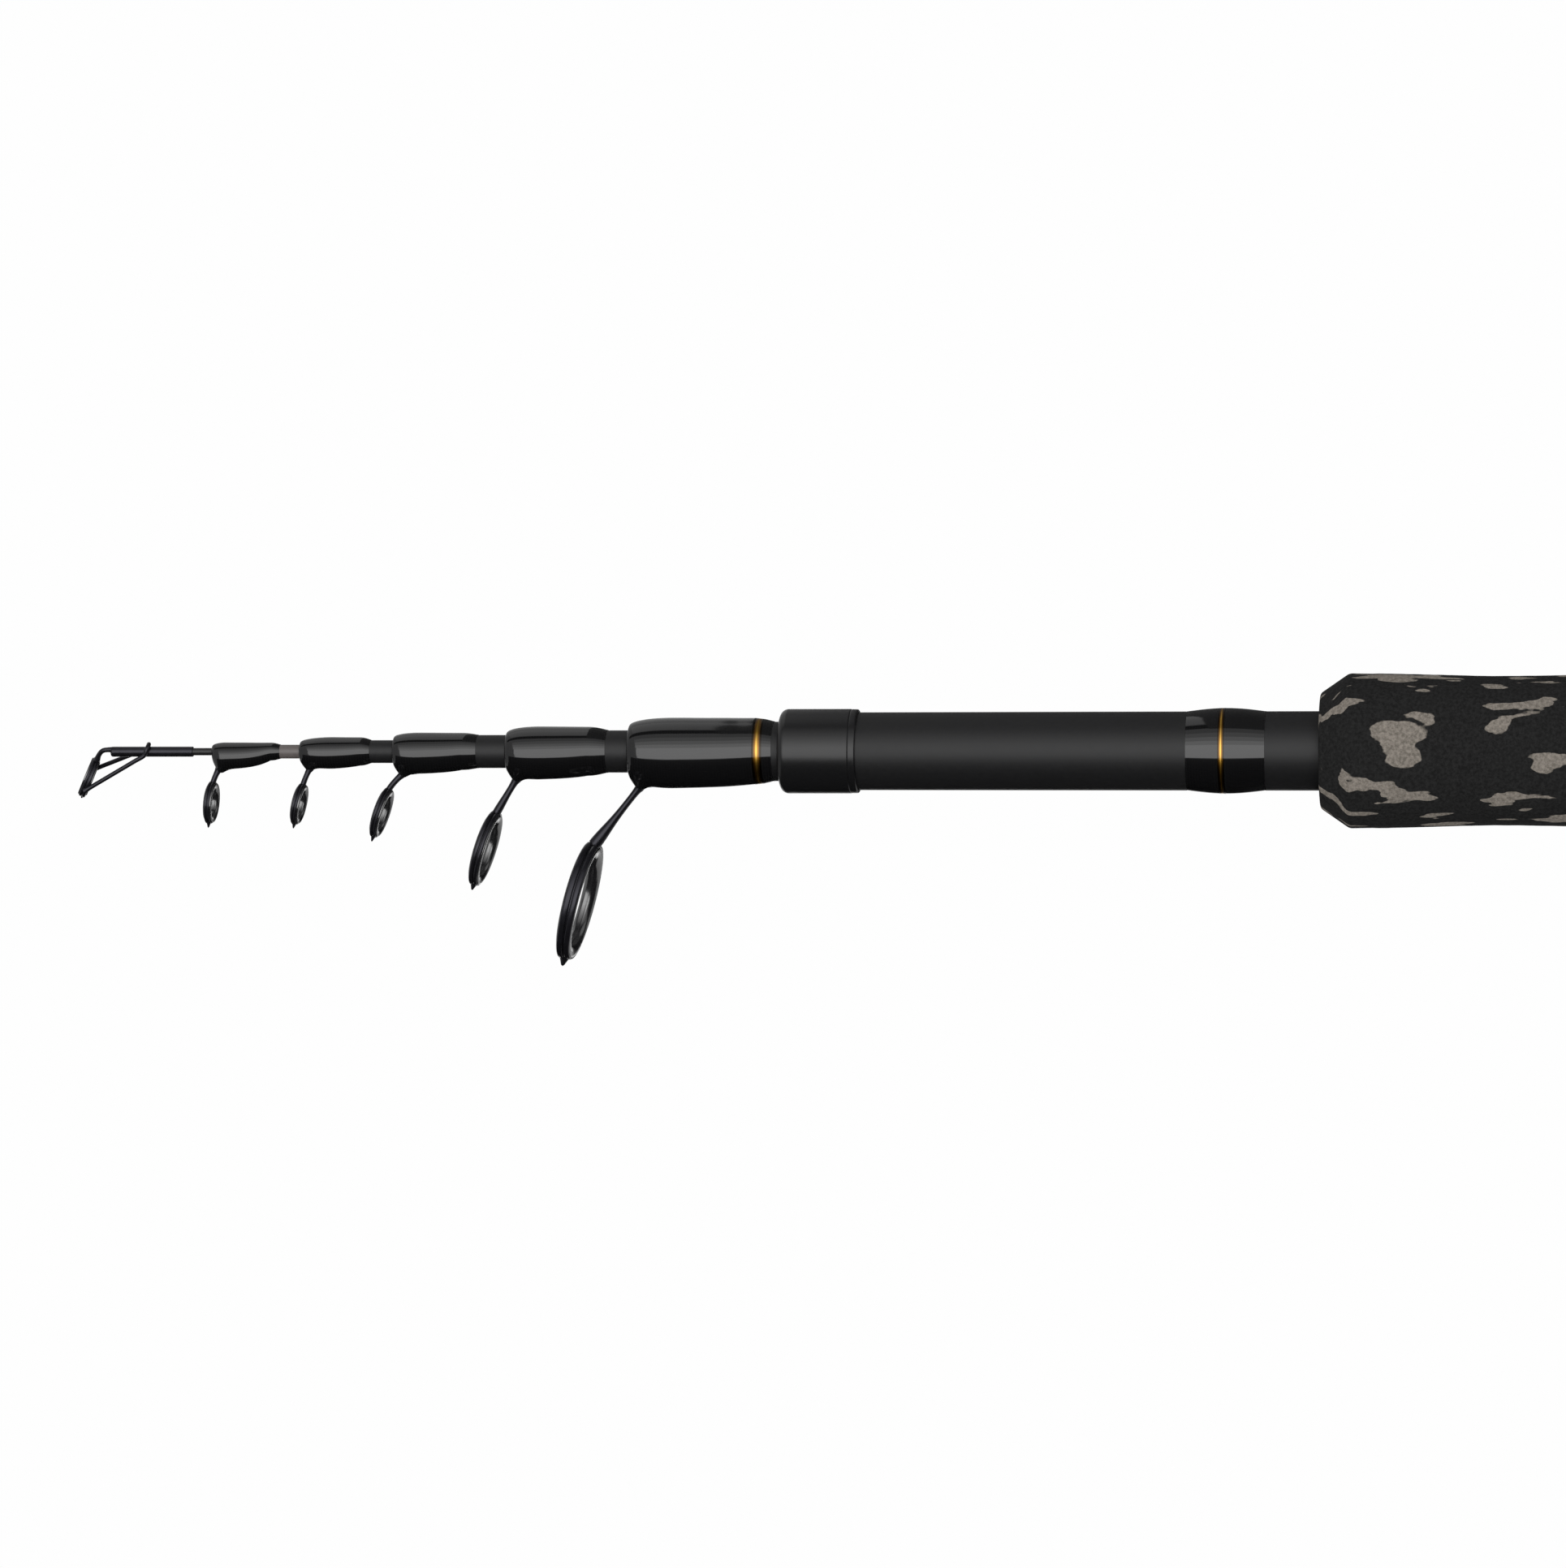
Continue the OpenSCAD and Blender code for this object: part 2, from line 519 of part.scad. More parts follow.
// The nose wire leaves the front of the tube and arches down to the top of the ring
nose_path = [
    [-tube_r / 3, 0, tip_wire_r], [-tube_r / 3, 0, -0.22 * tip_ahead], [tube_r / 4, 0, -0.47 * tip_ahead],
    tip_ring_point(180, 1),
];
module tip_top_frame() color("#1d1b22") difference() {
    union() {
        at_tip_ring() hoop(tip_ring_r, tip_rim_w, tip_frame_l, tip_nub_h);
        at_tip() {
            for (side = [-1, 1])
                wire([0, side * (tube_r + tip_wire_r), tip_saddle_back], tip_ring_point(tip_leg_angle, side), tip_wire_r);
            translate([0, 0, tip_saddle_back]) rotate([0, 0, 90])
                rotate_extrude(angle = 180) translate([tube_r + tip_wire_r, 0]) circle(tip_wire_r);
            for (k = [1:3]) wire(nose_path[k - 1], nose_path[k], tip_wire_r);
        }
    }
    tip_tube_solid(glue);
    at_tip_ring() mirror([0, 0, 1]) insert_space(tip_seat, tip_rim_w, tip_frame_l);
}
module tip_top_ring() color("#3a3a3c") at_tip_ring() mirror([0, 0, 1])
    insert(tip_seat, tip_rim_w, tip_bore_r, tip_frame_l);

// Butt section with its mouth cap and wrap
module butt_blank() color("#1c1c1e") blank(BUTT);
mouth_cap_r = outer_r(BUTT, mouth_cap_l) + glue + mouth_cap_wall;
module mouth_cap() color("#151516") difference() {
    turned(0, concat(
        [[0, 0]],
        quarter(mouth_cap_r - mouth_round, 0, mouth_cap_r, mouth_round, ROUND_STEPS),
        [[mouth_cap_r, mouth_cap_l], [0, mouth_cap_l]]
    ));
    blank_space(BUTT, mouth_lip_l - glue, mouth_cap_l);
    along(-1) cylinder(h = mouth_lip_l + 1, r = mouth_r(BUTT) + lock_gap);
}
butt_wrap_base = outer_r(BUTT, butt_wrap_s + butt_wrap_l) + 2 * glue;
function butt_wrap_r(z) = butt_wrap_base + butt_wrap_h * sin(180 * z / butt_wrap_l);
module butt_wrap_body() turned(butt_wrap_s, concat(
    [[0, 0]],
    [for (k = [0:WAIST_STEPS]) let (z = butt_wrap_l * k / WAIST_STEPS) [butt_wrap_r(z), z]],
    [[0, butt_wrap_l]]
));
butt_band_s = butt_wrap_s + butt_band_at;
butt_band_r = butt_wrap_r(butt_band_at - butt_band_w) - band_t;
module butt_wrap() color("#0b0b0d") difference() {
    butt_wrap_body();
    blank_space(BUTT, butt_wrap_s - 1, butt_wrap_l + 2);
    band_slot(butt_band_s, butt_band_w, butt_band_r);
}
module butt_band() color("#c79a3b") intersection() {
    butt_wrap_body();
    band_slot(butt_band_s, butt_band_w - 2 * glue, butt_band_r + glue);
}

// Foam grips, turned to shape and bored for the blank
fore_grip_r = fore_grip_d / 2;
fore_body_l = fore_grip_l - fore_chamfer_l - grip_round;
module fore_grip() color("#26262a") difference() {
    turned(fore_grip_s, concat(
        [[0, 0], [fore_face_d / 2, 0]],
        [for (k = [0:WAIST_STEPS])
            [fore_grip_r - fore_waist * pow(sin(180 * k / WAIST_STEPS), 2),
             fore_chamfer_l + fore_body_l * k / WAIST_STEPS]],
        [for (k = [1:ROUND_STEPS])
            [fore_grip_r - grip_round * (1 - cos(90 * k / ROUND_STEPS)),
             fore_grip_l - grip_round + grip_round * sin(90 * k / ROUND_STEPS)]],
        [[0, fore_grip_l]]
    ));
    blank_space(BUTT, fore_grip_s - 1, fore_grip_l + 2);
}
rear_grip_r = rear_grip_d / 2;
module rear_grip() color("#26262a") difference() {
    turned(rear_grip_s, concat(
        [[0, 0]],
        [for (k = [0:ROUND_STEPS])
            [trim_r + (rear_grip_r - trim_r) * (1 - cos(180 * k / ROUND_STEPS)) / 2, rear_taper_l * k / ROUND_STEPS]],
        [for (k = [0:ROUND_STEPS])
            [rear_grip_r - grip_round * (1 - cos(90 * k / ROUND_STEPS)),
             rear_grip_l - grip_round + grip_round * sin(90 * k / ROUND_STEPS)]],
        [[0, rear_grip_l]]
    ));
    blank_space(BUTT, rear_grip_s - 1, rear_grip_l + 2);
}

// Reel seat: barrel on two arbors, trim rings at both ends, fixed hood behind, sliding hood and nut in front
module trim_ring(s) difference() {
    turned(s, [[0, 0], [trim_r, 0], [trim_r, trim_l], [0, trim_l]]);
    blank_space(BUTT, s - 1, trim_l + 2);
}
module seat_trim_front() color("#1a1a1c") trim_ring(front_trim_s);
module seat_trim_rear() color("#1a1a1c") trim_ring(rear_trim_s);
module arbor(s) difference() {
    along(s) cylinder(h = arbor_l, r = seat_bore_r - glue);
    blank_space(BUTT, s - 1, arbor_l + 2);
}
module seat_arbor_front() color("#6b5a45") arbor(seat_s + trim_l);
module seat_arbor_rear() color("#6b5a45") arbor(rear_trim_s - trim_l - arbor_l);

// A right-hand thread as one ridge round Z; a crest inside its foot gives a nut's thread
module thread(foot, crest, pitch, l) {
    turns = (l - root_w) / pitch;
    n = floor(turns * THREAD_STEPS);
    side = sign(crest - foot);
    ring = [[foot, -side * root_w / 2], [crest, -side * crest_w / 2], [crest, side * crest_w / 2], [foot, side * root_w / 2]];
    pts = [for (k = [0:n]) for (q = ring)
        let (a = 360 * k / THREAD_STEPS)
        [q[0] * cos(a), q[0] * sin(a), root_w / 2 + pitch * k / THREAD_STEPS + q[1]]];
    walls = [for (k = [0:n - 1]) for (m = [0:3])
        let (a = 4 * k + m, b = 4 * k + (m + 1) % 4)
        each [[a, b, a + 4], [b, b + 4, a + 4]]];
    ends = [[0, 2, 1], [0, 3, 2], [4 * n, 4 * n + 1, 4 * n + 2], [4 * n, 4 * n + 2, 4 * n + 3]];
    polyhedron(points = pts, faces = concat(walls, ends));
}
// How far a ridge's foot goes into the wall that carries it
thread_foot = 0.3;
module seat_barrel() color("#141416") difference() {
    union() {
        along(seat_s) difference() {
            cylinder(h = seat_l, r = seat_r);
            translate([0, 0, -1]) cylinder(h = seat_l + 2, r = seat_bore_r);
        }
        along(seat_s + run_gap) thread(seat_r - thread_foot, crest_r, seat_pitch, seat_thread_l);
    }
    along(seat_s - 1) translate([-crest_r - 1, -key_w / 2 - run_gap, 0])
        cube([1 + thread_h + key_depth, key_w + 2 * run_gap, hood_s - seat_s + hood_travel + hood_l + 2]);
}
// Points of an arc, in degrees from X
function arc(c, r, a0, a1, n) =
    [for (k = [0:n]) let (a = a0 + (a1 - a0) * k / n) [c[0] + r * cos(a), c[1] + r * sin(a)]];
hood_depth = pocket_floor + pocket_wall;
hood_half_w = pocket_w / 2 + pocket_wall;
hood_corner = 2 * pocket_wall;
hood_nose_l = hood_l - pocket_l + pocket_wall;
hood_arc = asin(hood_half_w / hood_r);
// A hood: a ring round the barrel with a shoe under it, open at its far end for the reel's foot
module hood(bore) difference() {
    linear_extrude(hood_l) polygon(concat(
        arc([0, 0], hood_r, hood_arc, 360 - hood_arc, 40),
        arc([hood_depth - hood_corner, hood_corner - hood_half_w], hood_corner, -90, 0, ROUND_STEPS),
        arc([hood_depth - hood_corner, hood_half_w - hood_corner], hood_corner, 0, 90, ROUND_STEPS)
    ));
    translate([0, 0, -1]) cylinder(h = hood_l + 2, r = bore);
    translate([0, -pocket_w / 2, hood_l - pocket_l]) cube([pocket_floor, pocket_w, pocket_l + 1]);
    rotate([90, 0, 0]) linear_extrude(4 * hood_half_w, center = true)
        polygon([[hood_r, -1], [hood_r, 0], [hood_depth, hood_nose_l], [2 * hood_depth, hood_nose_l], [2 * hood_depth, -1]]);
}
module seat_fixed_hood() color("#1b1b1e") along(fixed_hood_s + hood_l) mirror([0, 0, 1]) hood(seat_r + glue);
module seat_sliding_hood() color("#1b1b1e") along(hood_s) {
    hood(hood_bore_r);
    translate([-hood_bore_r - hood_wall / 2, -key_w / 2, 0])
        cube([hood_bore_r + hood_wall / 2 - seat_r + key_depth - run_gap, key_w, hood_l]);
}
nut_r = hood_bore_r + nut_wall;
// Round grooves that give the fingers a hold
module flutes(n, r, l) for (k = [0:n - 1]) rotate([0, 0, 360 * k / n])
    translate([r + flute_r / 2, 0, -1]) cylinder(h = l + 2, r = flute_r, $fn = 24);
module seat_nut() color("#1b1b1e") along(nut_s) {
    difference() {
        cylinder(h = nut_l, r = nut_r);
        translate([0, 0, -1]) cylinder(h = nut_l + 2, r = hood_bore_r);
        flutes(nut_flutes, nut_r, nut_l);
    }
    nut_start = (nut_s - seat_s - run_gap) / seat_pitch;
    rotate([0, 0, 360 * (nut_start - 0.5)])
        thread(hood_bore_r + thread_foot, seat_r + run_gap, seat_pitch, nut_l);
}

// Butt end: glued ferrule, screw plug with its seal and bumper, and the damper on the plug's nose
module butt_ferrule() color("#161618") {
    difference() {
        along(ferrule_s) cylinder(h = ferrule_rear_s - ferrule_s, r = ferrule_r);
        blank_space(BUTT, ferrule_s - 1, ferrule_glue_l + 1 + glue);
        along(blank_rear_s) cylinder(h = ferrule_thread_l + 1, r = plug_bore_r);
    }
    along(blank_rear_s) rotate([0, 0, 180])
        thread(plug_bore_r + thread_foot, plug_core_r + run_gap, plug_pitch, ferrule_thread_l);
}
core_s = blank_rear_s + rest_gap;
stud_r = nose_r / 3;
module plug_damper() color("#5b4a3a") along(damper_s) {
    cylinder(h = damper_l - rest_gap / 2, r = nose_r);
    cylinder(h = 2 * damper_l - rest_gap, r = stud_r);
}
module butt_plug() color("#161618") {
    difference() {
        union() {
            along(nose_s) cylinder(h = core_s - nose_s + 1, r = nose_r);
            along(core_s) cylinder(h = plug_head_s - core_s + 1, r = plug_core_r);
            along(plug_head_s) cylinder(h = plug_head_l, r = ferrule_r);
        }
        along(nose_s - 1) cylinder(h = damper_l + 1, r = stud_r + run_gap);
        along(bumper_s - spigot_l) cylinder(h = spigot_l + 1, r = spigot_r + glue);
        along(plug_head_s) flutes(plug_flutes, ferrule_r, plug_head_l);
        along(plug_head_s - 1) difference() {
            cylinder(h = 1 + seal_d, r = seal_r + seal_d / 2 + glue);
            cylinder(h = 1 + seal_d, r = seal_r - seal_d / 2 - glue);
        }
    }
    plug_start = (core_s - blank_rear_s) / plug_pitch;
    along(core_s) rotate([0, 0, 360 * plug_start])
        thread(plug_core_r - thread_foot, plug_crest_r, plug_pitch, ferrule_rear_s - core_s);
}
seal_r = (plug_bore_r + ferrule_r) / 2;
module plug_seal() color("#0e0e0f") along(plug_head_s + seal_d / 2 - rest_gap / 2)
    rotate_extrude() translate([seal_r, 0]) circle(seal_d / 2, $fn = 32);
module butt_bumper() color("#121213") {
    turned(bumper_s + glue, concat(
        [[0, 0], [ferrule_r, 0]],
        [for (k = [0:ROUND_STEPS])
            [ferrule_r - bumper_round * (1 - cos(90 * k / ROUND_STEPS)),
             bumper_l - glue - bumper_round * (1 - sin(90 * k / ROUND_STEPS))]],
        [[0, bumper_l - glue]]
    ));
    along(bumper_s - spigot_l + glue) cylinder(h = spigot_l + bumper_l / 2, r = spigot_r);
}

butt_blank();
mouth_cap();
butt_wrap();
butt_band();
fore_grip();
seat_trim_front();
seat_arbor_front();
seat_arbor_rear();
seat_barrel();
seat_fixed_hood();
seat_trim_rear();
rear_grip();
butt_ferrule();
seat_sliding_hood();
seat_nut();
plug_damper();
butt_plug();
plug_seal();
butt_bumper();
section_6_blank();
section_6_wrap();
section_6_band();
section_6_guide();
section_6_ring();
section_5_blank();
section_5_wrap();
section_5_guide();
section_5_ring();
section_4_blank();
section_4_wrap();
section_4_guide();
section_4_ring();
section_3_blank();
section_3_wrap();
section_3_guide();
section_3_ring();
section_2_blank();
section_2_wrap();
section_2_guide();
section_2_ring();
section_1_blank();
tip_top_tube();
tip_top_frame();
tip_top_ring();
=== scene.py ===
# %% [markdown]
# # A telescopic fishing rod, pushed together
# The rod's solids come from its CAD model. This lesson dresses them: it sets up the photographer's camera
# and light, mixes a material for each thing the rod is made of, and rebuilds the pieces whose real surface
# is finer than a CAD solid's. Everything is in metres, in the CAD model's own frame: the rod lies along X
# with its tip towards -X, and the line guides hang towards -Z.

# %% Load the frame
import bmesh
import bpy
import json
from math import asin, cos, degrees, exp, floor, pi, radians, sin, sqrt, tan
from mathutils import Matrix, Vector, noise


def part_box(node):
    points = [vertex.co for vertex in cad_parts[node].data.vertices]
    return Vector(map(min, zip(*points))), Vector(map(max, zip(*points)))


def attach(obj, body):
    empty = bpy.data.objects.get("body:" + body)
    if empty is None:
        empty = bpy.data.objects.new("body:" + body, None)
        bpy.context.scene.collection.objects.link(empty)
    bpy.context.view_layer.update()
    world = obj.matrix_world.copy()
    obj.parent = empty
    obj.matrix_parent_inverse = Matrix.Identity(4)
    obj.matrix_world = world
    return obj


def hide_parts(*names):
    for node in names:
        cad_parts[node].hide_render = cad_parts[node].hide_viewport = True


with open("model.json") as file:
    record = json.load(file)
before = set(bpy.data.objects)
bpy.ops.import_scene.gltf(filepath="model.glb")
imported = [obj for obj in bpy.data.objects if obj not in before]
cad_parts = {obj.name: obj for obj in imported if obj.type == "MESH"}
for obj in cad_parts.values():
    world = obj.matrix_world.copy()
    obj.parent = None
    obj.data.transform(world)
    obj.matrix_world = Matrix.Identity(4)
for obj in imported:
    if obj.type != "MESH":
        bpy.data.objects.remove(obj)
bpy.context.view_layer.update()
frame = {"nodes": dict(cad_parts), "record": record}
nodes = frame["nodes"]
scene = bpy.context.scene
scene.view_settings.view_transform = "Standard"
MM = 0.001

# %% [markdown]
# ## Camera
# The photograph was taken from about 1.3 m away with a long lens: the foam grip at the right is drawn a
# little larger than the tip at the left, so the camera stands nearer to the grip and is turned towards the
# tip. The picture cuts the rod off behind the front of its fore grip. Placing the camera where it stood,
# instead of cropping, gives the same perspective.

# %% Camera
PICTURE = (1929, 1932)
FOCAL_PX = 7506
SENSOR_MM = 36.0
CAMERA_PLACE = Vector((-0.2172, -1.3274, -0.0072))
CAMERA_TURN = radians(7.6)

camera_data = bpy.data.cameras.new("camera")
camera_data.sensor_width = SENSOR_MM
camera_data.lens = SENSOR_MM * FOCAL_PX / max(PICTURE)
camera = bpy.data.objects.new("camera", camera_data)
scene.collection.objects.link(camera)
camera.location = CAMERA_PLACE
looking = Vector((-sin(CAMERA_TURN), cos(CAMERA_TURN), 0))
camera.rotation_euler = looking.to_track_quat("-Z", "Y").to_euler()
scene.camera = camera
print("lens:", round(camera_data.lens, 1), "mm")

# %% [markdown]
# ## Helpers for materials
# Colours are picked from references as sRGB hex values, but shaders calculate in linear light, so one
# function converts them. Node trees are easier to read when adding a node, setting it and linking it is a
# single line, so there is one more function for that: an input that is given a socket is linked, and any
# other value is set on the socket itself.

# %% Material helpers
def linear(hex_colour):
    parts = [int(hex_colour[k:k + 2], 16) / 255 for k in (1, 3, 5)]
    return (*[c / 12.92 if c <= 0.04045 else ((c + 0.055) / 1.055) ** 2.4 for c in parts], 1.0)


def set_inputs(tree, node, inputs):
    for key, value in inputs.items():
        if isinstance(value, bpy.types.NodeSocket):
            tree.links.new(value, node.inputs[key])
        else:
            node.inputs[key].default_value = value


def add_node(tree, kind, inputs=None, **settings):
    made = tree.nodes.new("ShaderNode" + kind)
    for key, value in settings.items():
        setattr(made, key, value)
    set_inputs(tree, made, inputs or {})
    return made


def result(tree, kind, inputs=None, **settings):
    """The first output of a new node."""
    return add_node(tree, kind, inputs, **settings).outputs[0]


def new_material(name):
    material = bpy.data.materials.new(name)
    material.use_nodes = True
    tree = material.node_tree
    tree.nodes.clear()
    surface = add_node(tree, "BsdfPrincipled")
    add_node(tree, "OutputMaterial", {"Surface": surface.outputs["BSDF"]})
    print("material:", name)
    return material, tree, surface


def per_mm(size_mm):
    """Texture scale at which a pattern repeats about every size_mm on a model in metres."""
    return 1.0 / (size_mm * MM)


# %% [markdown]
# ## Helpers for grain and colour
# A real surface is never one flat value. Most materials below start from a noise in the piece's own
# coordinates, and let it move colour, roughness and relief a little. Each function makes one step and
# returns its socket.

# %% Grain helpers
def coordinates(tree, kind="Object"):
    return add_node(tree, "TexCoord").outputs[kind]


def grain_noise(tree, size_mm, detail, roughness=0.5, where=None):
    grain = add_node(tree, "TexNoise", {
        "Vector": where or coordinates(tree), "Scale": per_mm(size_mm), "Detail": detail,
        "Roughness": roughness})
    return grain.outputs["Fac"]


def ranged(tree, value, low, high, start=0.0, stop=1.0, how="LINEAR"):
    """A value between start and stop, moved to the range from low to high."""
    return result(tree, "MapRange", {
        "Value": value, "From Min": start, "From Max": stop, "To Min": low, "To Max": high},
        interpolation_type=how)


def blend(tree, factor, *colours):
    """A colour between two hex values or sockets. A mix node's inputs 6 and 7 are the colours."""
    one, two = [linear(colour) if isinstance(colour, str) else colour for colour in colours]
    mixed = add_node(tree, "Mix", {"Factor": factor, 6: one, 7: two}, data_type="RGBA")
    return mixed.outputs[2]


def relief(tree, height, strength, depth_mm):
    return result(tree, "Bump", {"Height": height, "Strength": strength, "Distance": depth_mm * MM})


# %% [markdown]
# ## Helpers for the studio
# The rod hangs four metres above a floor of pale paper, so its shadow is too soft to see. To the camera,
# floor and room are the same plain white, so that no view shows a line between them. The light path tells
# which kind of ray asks, so a surface can be white to some and look as it is lit to others.

# %% Stage helpers
WHITE = "#fefefe"


def flat_sheet(name, corners, material):
    mesh = bpy.data.meshes.new(name)
    mesh.from_pydata(corners, [], [(0, 1, 2, 3)])
    sheet = bpy.data.objects.new(name, mesh)
    mesh.materials.append(material)
    scene.collection.objects.link(sheet)
    return sheet


def ray_is(tree, one, two):
    """1 for rays of either kind, and 0 for all others."""
    path = add_node(tree, "LightPath")
    return result(tree, "Math", {0: path.outputs[one], 1: path.outputs[two]}, operation="MAXIMUM")


def show_mix(tree, factor, one, two):
    """Give the material a mix of two shaders for its surface."""
    mixed = result(tree, "MixShader", {0: factor, 1: one, 2: two})
    tree.links.new(mixed, tree.nodes["Material Output"].inputs["Surface"])
    return mixed


def white_to(tree, surface, *kinds):
    """Show plain white to two kinds of ray, and the lit surface to the others."""
    white = result(tree, "Emission", {"Color": linear(WHITE), "Strength": 1.0})
    return show_mix(tree, ray_is(tree, *kinds), surface.outputs["BSDF"], white)


# %% [markdown]
# ## Screen and floor
# Gloss sees the floor and the room as they are lit, and behind the rod it sees a white screen. The
# screen's edges fade, so that no reflection has a hard border.

# %% Stage
SCREEN_MIDDLE = Vector((-3.06, 20.0, 0.0))
SCREEN_FADE, SCREEN_HALF = 2.9, 3.9  # the picture is 2.8 m from its middle to its edge at this distance
FLOOR_Z, FLOOR_HALF = -4.0, 60.0
PAPER_GRAIN_MM = 40.0
CORNERS = ((-1, -1), (1, -1), (1, 1), (-1, 1))

screen_cloth, tree, surface = new_material("white screen cloth")
set_inputs(tree, surface, {"Base Color": linear("#f4f4f4"), "Roughness": 0.9})
cloth = white_to(tree, surface, "Is Glossy Ray", "Is Transmission Ray")
across = add_node(tree, "SeparateXYZ", {0: coordinates(tree)})
edges = []
for side in ("X", "Z"):
    away = result(tree, "Math", {0: across.outputs[side]}, operation="ABSOLUTE")
    edges.append(ranged(tree, away, 1.0, 0.0, SCREEN_FADE, SCREEN_HALF, "SMOOTHSTEP"))
solid = result(tree, "Math", {0: edges[0], 1: edges[1]}, operation="MULTIPLY")
show_mix(tree, solid, result(tree, "BsdfTransparent"), cloth)
screen = flat_sheet("screen", [(x * SCREEN_HALF, 0, z * SCREEN_HALF) for x, z in CORNERS], screen_cloth)
screen.location = SCREEN_MIDDLE
screen.visible_camera = False

floor_paper, tree, surface = new_material("pale studio paper")
fibres = add_node(tree, "TexNoise", {"Scale": per_mm(PAPER_GRAIN_MM)})
set_inputs(tree, surface, {
    "Base Color": linear("#fbfbfb"), "Roughness": 0.9,
    "Normal": relief(tree, fibres.outputs["Fac"], 0.05, 1.0)})
white_to(tree, surface, "Is Camera Ray", "Is Transmission Ray")
flat_sheet("floor", [(x * FLOOR_HALF, y * FLOOR_HALF, FLOOR_Z) for x, y in CORNERS], floor_paper)
print("screen:", 2 * SCREEN_HALF, "m wide, floor at", FLOOR_Z, "m")

# %% [markdown]
# ## Light
# The room itself is pale and lights every side. The camera sees it as plain white.

# %% Room light
WORLD_LEVEL = 0.55

world = bpy.data.worlds.new("room light")
scene.world = world
world.use_nodes = True
world.cycles.sampling_method = "NONE"
tree = world.node_tree
strength = ranged(tree, ray_is(tree, "Is Camera Ray", "Is Transmission Ray"), WORLD_LEVEL, 1.0)
set_inputs(tree, tree.nodes["Background"], {"Color": linear(WHITE), "Strength": strength})
print("room light:", WORLD_LEVEL)

# %% [markdown]
# Lacquer shows whatever stands round it, so a photographer lights it by building that surround. Here it is
# a tall bank of soft strips in front of the rod, bright from just under the lens upwards and fading
# towards the ceiling, a weak panel overhead, and another behind for the rod's back. A broad fill behind is
# kept out of the gloss. A strip's power grows with its area, so its brightness stays as written.

# %% Light bank
BANK_RADIUS = 1.6
BANK_LEFT, BANK_RIGHT = -1.5, 0.7
BUTT_EDGE = -0.61  # the panels over the front sections end where the butt section's mouth shows the ceiling
BACK_EDGE = -0.3
# Lowest and highest angle above the lens, the strip's brightness, where it ends, and if gloss shows it
BANK = [(-20, 16, 2.2, BANK_RIGHT, True), (16, 27, 1.5, BANK_RIGHT, True),
        (27, 38, 0.85, BANK_RIGHT, True), (38, 50, 0.35, BANK_RIGHT, True),
        (80, 116, 0.25, BUTT_EDGE, True), (170, 205, 0.8, BACK_EDGE, True),
        (150, 225, 1.0, BANK_RIGHT, False)]


def round_rod(angle):
    """The direction from the rod's axis at an angle above the lens's level."""
    return Vector((0, -cos(radians(angle)), sin(radians(angle))))


for low, high, level, right, in_gloss in BANK:
    length = right - BANK_LEFT
    height = 2 * BANK_RADIUS * tan(radians(high - low) / 2)
    lamp = bpy.data.lights.new(f"strip_{low}", "AREA")
    lamp.shape = "RECTANGLE"
    lamp.size = length
    lamp.size_y = height
    lamp.energy = level * pi * length * height
    strip = bpy.data.objects.new(f"strip_{low}", lamp)
    scene.collection.objects.link(strip)
    outward = round_rod((low + high) / 2)
    strip.location = Vector((BANK_LEFT + length / 2, 0, 0)) + outward * BANK_RADIUS
    strip.rotation_euler = (-outward).to_track_quat("-Z", "Y").to_euler()
    strip.visible_camera = False
    strip.visible_glossy = in_gloss
print("strips:", len(BANK))

# %% [markdown]
# ## Flags
# A flag is a dark cloth that a photographer hangs where a gloss should stay black. One hangs below the
# lens and on behind the rod: it keeps the lower half of the lacquer dark and gives the long reflection its
# hard lower edge. A narrow one above the bank draws the thin dark line near the top of the wraps, and a
# grey one over the butt section takes the shine off its top. One behind the butt and one across its end
# face the rings' rear sides. Flags only show in reflections, so the soft light from all sides still
# reaches the rod.

# %% Hang the flags
FLAG_LEFT, FLAG_RIGHT = -2.3, 1.7
FLAG_BACK, FLAG_BUTT = -0.1, -0.28  # where the lower flag ends at the back, and the butt's own flag begins
END_LOW, END_HIGH = -1.8, 0.1


def flag_cloth(name, colour):
    material, tree, surface = new_material(name)
    set_inputs(tree, surface, {"Base Color": linear(colour), "Roughness": 1.0, "Specular IOR Level": 0.0})
    return material


def hang(name, corners, cloth):
    flag = flat_sheet(name, corners, cloth)
    flag.visible_camera = False
    flag.visible_diffuse = False
    flag.visible_shadow = False


velvet = flag_cloth("black velvet", "#0a0a0a")
felt = flag_cloth("grey felt", "#5c5c5c")
# Angles of the cloth's folds above the lens's level, its left and right end, and the cloth
FLAGS = [((-22, -58, -95, -118), FLAG_LEFT, FLAG_RIGHT, velvet),
         ((-118, -158), FLAG_LEFT, FLAG_BACK, velvet),
         ((64, 77), FLAG_LEFT, BUTT_EDGE, velvet),
         ((62, 105, 140, 165), BUTT_EDGE, FLAG_RIGHT, felt),
         ((165, 188), FLAG_BUTT, FLAG_RIGHT, velvet)]
for folds, left, right, material in FLAGS:
    for a, b in zip(folds, folds[1:]):
        one, two = round_rod(a) * BANK_RADIUS, round_rod(b) * BANK_RADIUS
        start, stop = Vector((left, 0, 0)), Vector((right, 0, 0))
        hang(f"flag_{a}", [one + start, one + stop, two + stop, two + start], material)
end_sides = ((-1, END_LOW), (1, END_LOW), (1, END_HIGH), (-1, END_HIGH))
hang("flag_end", [(FLAG_RIGHT, y * BANK_RADIUS, z) for y, z in end_sides], velvet)
print("flags:", len(FLAGS) + 1)

